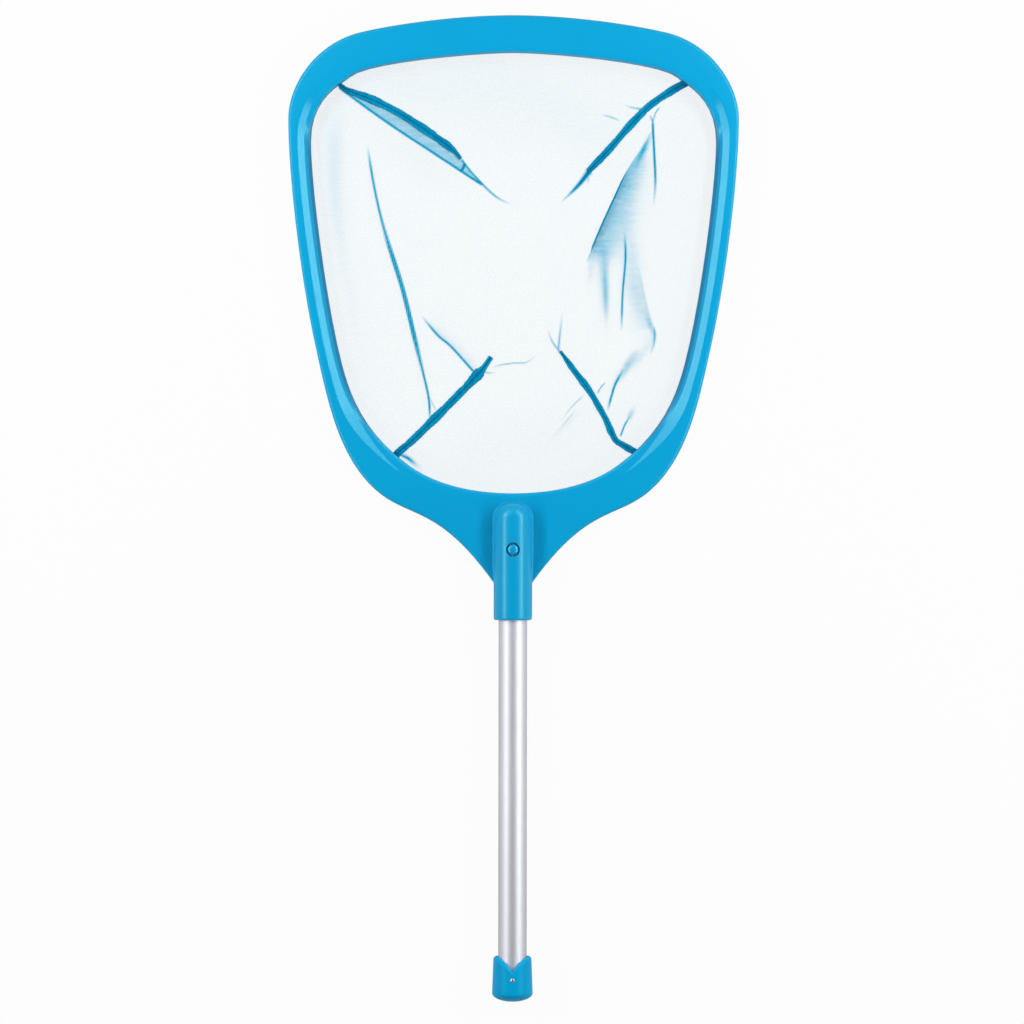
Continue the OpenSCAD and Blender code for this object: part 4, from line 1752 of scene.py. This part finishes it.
class PoleTube:
    """The drawn tube with its button hole and rivet hole."""

    def __init__(self, sizes: PoleSizes, finish: MetalFinish) -> None:
        """Args:
            sizes: Sizes of the pole end.
            finish: Finish of the tube.
        """
        self.sizes = sizes
        self.material = finish.build()

    def build(self) -> bpy.types.Object:
        """Makes the tube.

        Returns:
            The tube's object.
        """
        s = self.sizes
        r, b = s.radius, s.bore
        profile = [(b, s.low + 0.3), (b + 0.3, s.low), (r - 0.3, s.low), (r, s.low + 0.3)]
        profile += [(r, y) for y in np.linspace(s.low + 20, s.high - 20, 12)]
        profile += [(r, s.high - 0.3), (r - 0.3, s.high), (b + 0.3, s.high), (b, s.high - 0.3)]
        draft = Draft("pole_drawn_tube")
        draft.lathe(profile, (0, 0, s.axis_z), "y", 128)
        made = draft.make(Body.SKIMMER, self.material, 30)
        cutters = []
        for radius, y in ((s.button_hole, s.button_y), (s.rivet_hole, s.end_y + s.rivet_at)):
            cutter = Draft("pole_cutter")
            hole = [(0.0, 5.0), (radius, 5.0), (radius, 14.0), (0.0, 14.0)]
            cutter.lathe(hole, (0, y, s.axis_z), "z", 48)
            cutters.append(cutter)
        carve(made, cutters, 30)
        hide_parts("pole_tube")
        return made


class EndCap:
    """The moulded cap with its domed end and the rolled lip of its V notch."""

    def __init__(self, sizes: PoleSizes, finish: PlasticFinish) -> None:
        """Args:
            sizes: Sizes of the pole end.
            finish: Finish of the cap.
        """
        self.sizes = sizes
        self.material = finish.build()

    def notch_depth(self, x: float) -> float:
        """Args:
            x: Distance from the middle of the face.

        Returns:
            Depth of the notch there.
        """
        a, b, c = self.sizes.notch
        x = abs(x)
        raw = a + b * x + c * x * x if x < 14 else 0.0
        return 0.5 * (raw + math.sqrt(raw * raw + 0.5))

    def wall(self, y: float) -> float:
        """Args:
            y: Distance from the cap's end.

        Returns:
            Outer radius there.
        """
        s = self.sizes
        if y < s.cap_dome:
            t = 1 - y / s.cap_dome
            return s.cap_r * math.sqrt(max(0.0, 1 - t * t))
        return s.cap_r + (s.cap_mouth_r - s.cap_r) * (y - s.cap_dome) / (s.cap_side - s.cap_dome)

    def build(self) -> bpy.types.Object:
        """Makes the cap.

        Returns:
            The cap's object.
        """
        s = self.sizes
        rings = []
        sides = 192
        for i in range(sides):
            a = 2 * math.pi * i / sides
            top = s.cap_l - self.notch_depth(s.cap_bore * math.cos(a))
            if abs(math.cos(a)) > 0.97:
                top = s.cap_l
            shoulder = top - s.lip
            outline = [(0.0, 0.0)]
            for k in range(1, 13):
                y = s.cap_dome * (1 - math.cos(math.pi / 2 * k / 12))
                outline.append((self.wall(y), y))
            for k in range(1, 11):
                y = s.cap_dome + (shoulder - s.cap_dome) * k / 10
                outline.append((self.wall(y), y))
            thick = self.wall(shoulder) - s.cap_bore - 0.15
            for k in range(1, 11):
                q = math.pi / 2 * k / 10
                outline.append((s.cap_bore + 0.15 + thick * math.cos(q) ** 0.8,
                                shoulder + s.lip * math.sin(q) ** 0.9))
            outline += [(s.cap_bore, top - 0.35), (s.cap_bore, shoulder - 2), (s.cap_bore, s.cap_floor),
                        (0.0, s.cap_floor)]
            ring = [(r * math.cos(a), s.end_y + y, s.axis_z + r * math.sin(a)) for r, y in outline]
            rings.append(ring)
        draft = Draft("end_cap_moulded")
        draft.sweep(rings, closed_path=True)
        made = draft.make(Body.SKIMMER, self.material, 40)
        cutter = Draft("cap_cutter")
        hole = [(0.0, 10.0), (1.3, 10.0), (1.3, 16.9), (2.1, 16.9), (2.1, 19.0), (0.0, 19.0)]
        cutter.lathe(hole, (0, s.end_y + s.rivet_at, s.axis_z), "z", 48)
        carve(made, [cutter], 40)
        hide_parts("end_cap")
        return made


class CapRivet:
    """The blind rivet: a domed head and a set body, with the mandrel's broken stub in it."""

    def __init__(self, sizes: PoleSizes, head: MetalFinish, core: MetalFinish) -> None:
        """Args:
            sizes: Sizes of the pole end.
            head: Finish of the rivet.
            core: Finish of the mandrel: steel, darkened as painted shade in the rivet's hollow.
        """
        self.sizes = sizes
        self.head = head.build()
        self.core = core.build()

    def build(self) -> None:
        """Makes the rivet and its mandrel."""
        s = self.sizes
        at = (0, s.end_y + s.rivet_at, s.axis_z)
        draft = Draft("cap_rivet_set")
        profile = [(0.68, 9.45), (1.2, 9.3), (1.7, 9.5), (1.84, 10.0), (1.7, 10.6), (1.25, 10.95),
                   (1.25, 16.95), (1.75, 16.95)]
        profile += [(1.93, 17.02), (1.95, 17.12), (1.86, 17.35), (1.62, 17.6), (1.3, 17.78),
                    (0.95, 17.86), (0.76, 17.84)]
        profile += [(0.68, 17.74)]
        draft.lathe(profile, at, "z", 48)
        rivet = draft.make(Body.SKIMMER, self.head, 50)
        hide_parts("cap_rivet")
        draft = Draft("rivet_mandrel_stub")
        profile = [(0.0, 8.35), (0.8, 8.4), (1.2, 8.65), (1.24, 9.1), (0.62, 9.22), (0.62, 17.3),
                   (0.5, 17.45), (0.3, 17.38)]
        profile += [(0.0, 17.5)]
        draft.lathe(profile, at, "z", 32)
        core = draft.make(Body.SKIMMER, self.core, 40)
        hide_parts("rivet_mandrel")


class SnapLock:
    """The spring button that locks the pole in its socket, with its plug and coil spring."""

    def __init__(
        self, sizes: PoleSizes, button: PlasticFinish, plug: PlasticFinish, wire: MetalFinish
    ) -> None:
        """Args:
            sizes: Sizes of the pole end.
            button: Finish of the button.
            plug: Finish of the plug.
            wire: Finish of the spring.
        """
        self.sizes = sizes
        self.button = button.build()
        self.plug = plug.build()
        self.wire = wire.build()

    def build(self) -> None:
        """Makes the button, the plug and the spring."""
        s = self.sizes
        at = (0, s.button_y, s.axis_z)
        draft = Draft("snap_button_domed")
        profile = [(0.0, 12.81), (3.6, 12.81), (3.7, 12.7), (3.7, 7.5), (3.9, 7.31), (6.05, 7.31),
                   (6.25, 7.5)]
        profile += [(6.25, 9.1), (6.05, 9.31), (4.95, 9.31), (4.75, 9.6), (4.75, 15.3), (4.68, 15.66),
                    (4.4, 15.96)]
        profile += [(4.0, 16.24), (3.4, 16.58), (2.6, 16.93), (1.4, 17.27), (0.7, 17.37), (0.0, 17.4)]
        draft.lathe(profile, at, "z", 64)
        button = draft.make(Body.BUTTON, self.button, 40)
        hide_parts("snap_button")
        half = s.plug_l / 2
        draft = Draft("button_plug_moulded")
        r = s.bore - 0.05
        profile = [(0.0, -half), (r - 1.2, -half), (r - 0.35, -half + 0.35), (r, -half + 1.2),
                   (r, half - 1.2)]
        profile += [(r - 0.35, half - 0.35), (r - 1.2, half), (0.0, half)]
        draft.lathe(profile, at, "y", 96)
        plug = draft.make(Body.SKIMMER, self.plug, 40)
        cutter = Draft("plug_cutter")
        well = [(0.0, s.well_floor), (s.well_r, s.well_floor), (s.well_r, 13.0), (0.0, 13.0)]
        cutter.lathe(well, at, "z", 64)
        carve(plug, [cutter], 40)
        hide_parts("button_plug")
        draft = Draft("button_spring_wire")
        turns = s.spring_turns
        a = np.linspace(0, 2 * math.pi * turns, 340)
        k = a / (2 * math.pi)
        closed = s.spring_closed
        free = (s.spring_high - s.spring_low - 2 * closed) / (turns - 2)
        last = closed + free * (turns - 2) + closed * (k - turns + 1)
        coil = np.where(k > turns - 1, last, closed + free * (k - 1))
        z = s.spring_low + np.where(k < 1, closed * k, coil)
        x, y = s.spring_r * np.cos(a), s.button_y + s.spring_r * np.sin(a)
        draft.tube(np.stack([x, y, s.axis_z + z], axis=1), s.wire_r, 10)
        spring = draft.make(Body.SKIMMER, self.wire, 50)
        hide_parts("button_spring")
        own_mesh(spring)


@dataclass(frozen=True)
class StudioPlan:
    """Camera, lamps and floor of a plain soft studio, in metres and degrees."""

    lens: float = 180.0
    sensor: float = 36.0
    frame: float = 0.8968
    look: tuple = (-0.0009, -0.0034, 0.017)
    roll: float = 0.08
    lamp_angle: float = 51.0
    lamp_distance: float = 1.2
    lamp_length: float = 1.35
    lamp_y: float = 0.0
    left: tuple = (0.18, 9.0)
    right: tuple = (0.23, 8.2)
    corner: tuple = (0.3, 0.8, 4.0)
    corner_place: tuple = (0.6, 0.66, 0.64)
    corner_turn: tuple = (53.0, 41.0)
    sky_low: float = 0.42
    sky_high: float = 0.08
    sky_band: tuple = (0.35, 0.95)
    sky_blue: float = 1.03
    floor_low: float = -0.0002


class Studio:
    """Sets the camera, the soft lamps, the world and the floor."""

    def __init__(self, plan: StudioPlan, floor: FloorFinish) -> None:
        """Args:
            plan: Sizes of the studio.
            floor: Finish of the floor.
        """
        self.plan = plan
        self.floor = floor

    def camera(self) -> None:
        """Makes the camera, which looks straight down."""
        p = self.plan
        data = bpy.data.cameras.new("camera")
        data.lens = p.lens
        data.sensor_width = p.sensor
        data.clip_start = 0.05
        data.clip_end = 100
        made = bpy.data.objects.new("camera", data)
        distance = p.frame / 2 / (p.sensor / 2 / p.lens)
        made.location = (p.look[0], p.look[1], p.look[2] + distance)
        made.rotation_euler = (0, 0, math.radians(p.roll))
        bpy.context.scene.collection.objects.link(made)
        bpy.context.scene.camera = made

    @staticmethod
    def lamp(name: str, size: tuple, glow: float, place: tuple, turn: tuple) -> None:
        """Makes a flat soft lamp.

        Args:
            name: Name of the lamp.
            size: Width and length in metres.
            glow: Brightness of its face.
            place: Where it stands.
            turn: Its turn about the three axes, in radians.
        """
        data = bpy.data.lights.new(name, "AREA")
        data.shape = "RECTANGLE"
        data.size, data.size_y = size
        data.energy = glow * math.pi * size[0] * size[1]
        made = bpy.data.objects.new(name, data)
        made.location = place
        made.rotation_euler = turn
        bpy.context.scene.collection.objects.link(made)

    def lamps(self) -> None:
        """Makes a long lamp and a corner lamp on each side."""
        p = self.plan
        for name, side, width, glow in (("lamp_left", -1, *p.left), ("lamp_right", 1, *p.right)):
            a = math.radians(p.lamp_angle) * side
            place = (p.lamp_distance * math.sin(a), p.lamp_y, p.lamp_distance * math.cos(a))
            self.lamp(name, (width, p.lamp_length), glow, place, (0, a, 0))
        width, length, glow = p.corner
        x, y, z = p.corner_place
        lean, yaw = (math.radians(v) for v in p.corner_turn)
        for name, side in (("lamp_corner_left", -1), ("lamp_corner_right", 1)):
            self.lamp(name, (width, length), glow, (x * side, y, z), (0, lean * side, yaw * side))

    def world(self) -> None:
        """Makes a plain sky, a little darker overhead, which the camera sees as white."""
        p = self.plan
        world = bpy.data.worlds.new("studio")
        bpy.context.scene.world = world
        world.use_nodes = True
        tree = world.node_tree
        tree.nodes.clear()
        output = tree.nodes.new("ShaderNodeOutputWorld")
        place = tree.nodes.new("ShaderNodeTexCoord")
        split = tree.nodes.new("ShaderNodeSeparateXYZ")
        tree.links.new(place.outputs["Generated"], split.inputs[0])
        band = tree.nodes.new("ShaderNodeValToRGB")
        tree.links.new(split.outputs["Z"], band.inputs["Fac"])
        low, high = band.color_ramp.elements
        low.position, high.position = p.sky_band
        low.color = (p.sky_low, p.sky_low, p.sky_low, 1)
        high.color = (p.sky_high, p.sky_high, p.sky_high * p.sky_blue, 1)
        sky = tree.nodes.new("ShaderNodeBackground")
        tree.links.new(band.outputs["Color"], sky.inputs["Color"])
        white = tree.nodes.new("ShaderNodeBackground")
        white.inputs["Color"].default_value = (1, 1, 1, 1)
        paths = tree.nodes.new("ShaderNodeLightPath")
        mix = tree.nodes.new("ShaderNodeMixShader")
        tree.links.new(paths.outputs["Is Camera Ray"], mix.inputs[0])
        tree.links.new(sky.outputs[0], mix.inputs[1])
        tree.links.new(white.outputs[0], mix.inputs[2])
        tree.links.new(mix.outputs[0], output.inputs["Surface"])

    def ground(self) -> None:
        """Makes the floor."""
        mesh = bpy.data.meshes.new("floor")
        work = bmesh.new()
        bmesh.ops.create_grid(work, x_segments=8, y_segments=8, size=15)
        work.to_mesh(mesh)
        work.free()
        made = bpy.data.objects.new("floor", mesh)
        made.location = (0, 0, self.plan.floor_low)
        bpy.context.scene.collection.objects.link(made)
        made.data.materials.append(self.floor.build())

    def build(self) -> None:
        """Sets the whole studio and the colour management."""
        self.camera()
        self.lamps()
        self.world()
        self.ground()
        bpy.context.scene.view_settings.view_transform = "Standard"


def dress(frame: dict, node: str, material: bpy.types.Material) -> None:
    """Gives a carried-over CAD node its finish.

    Args:
        node: Name of the node.
        material: Its material.
    """
    obj = frame["nodes"][node]
    obj.data.materials.clear()
    obj.data.materials.append(material)
    LOG.info("CAD node %s: finish %s", node, material.name)


BLUE = PlasticFinish("frame_blue_satin", (0.0, 0.335, 0.635), (0.0, 0.36, 0.67), 0.32, 0.85,
                     (0.33, 0.81, 0.77, 1.0))
CAP_BLUE = PlasticFinish("cap_blue_satin", (0.0, 0.35, 0.69), (0.0, 0.39, 0.74), 0.42, 0.36,
                         (0.15, 0.85, 1.0, 1.0))
BUTTON_BLUE = PlasticFinish("button_blue_satin", (0.0, 0.3, 0.6), (0.0, 0.33, 0.64), 0.24, 0.9,
                            (0.3, 0.85, 1.0, 1.0))
PLUG_WHITE = PlasticFinish("plug_white_matt", (0.8, 0.8, 0.78), (0.86, 0.86, 0.84), 0.55, 0.4,
                           (1.0, 1.0, 1.0, 1.0))
TUBE = MetalFinish("pole_satin_aluminium", (0.79, 0.805, 0.85), (0.73, 0.745, 0.79), 0.58)
STEEL = MetalFinish("steel_bright", (0.8, 0.8, 0.82), (0.68, 0.68, 0.7), 0.22, (1, 1, 1), 300.0)
# A darker copy of the steel: painted shade for the mandrel stub down in the rivet's hollow.
SHADED_CORE_STEEL = MetalFinish("steel_core_painted_shade", (0.42, 0.39, 0.38), (0.22, 0.19, 0.18), 0.4, (1, 1, 1), 900.0)
NET = MeshFinish("net_pale_mesh")
THREAD = ThreadFinish("seam_thread_blue", (0.0, 0.12, 0.27), (0.0, 0.38, 0.62))
TAPE = ThreadFinish("hem_tape_white", (0.7, 0.72, 0.72), (0.84, 0.85, 0.85), 700.0)
CORD = ThreadFinish("hem_cord_white", (0.66, 0.68, 0.68), (0.82, 0.84, 0.84), 500.0)


def main() -> None:
    """Builds the visual model and the studio."""
    logging.basicConfig(level=logging.INFO, format="%(name)s: %(message)s")
    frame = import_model()
    Studio(StudioPlan(), FloorFinish()).build()
    shape = HeadShape(HeadSizes())
    head = HeadFrame(shape, BLUE)
    head.build()
    dress(frame, "clamp_ring", head.material)
    steel = STEEL.build()
    dress(frame, "clamp_screws", steel)
    Hem(shape, HemSizes(), TAPE, CORD).build()
    net = NetBag(shape, NetSizes(), NET)
    bag = net.build()
    thread = THREAD.build()
    seams = [CornerSeam(plan, net, thread).build() for plan in SEAMS]
    sizes = PoleSizes()
    PoleTube(sizes, TUBE).build()
    EndCap(sizes, CAP_BLUE).build()
    CapRivet(sizes, STEEL, SHADED_CORE_STEEL).build()
    SnapLock(sizes, BUTTON_BLUE, PLUG_WHITE, STEEL).build()


if __name__ == "__main__":
    main()
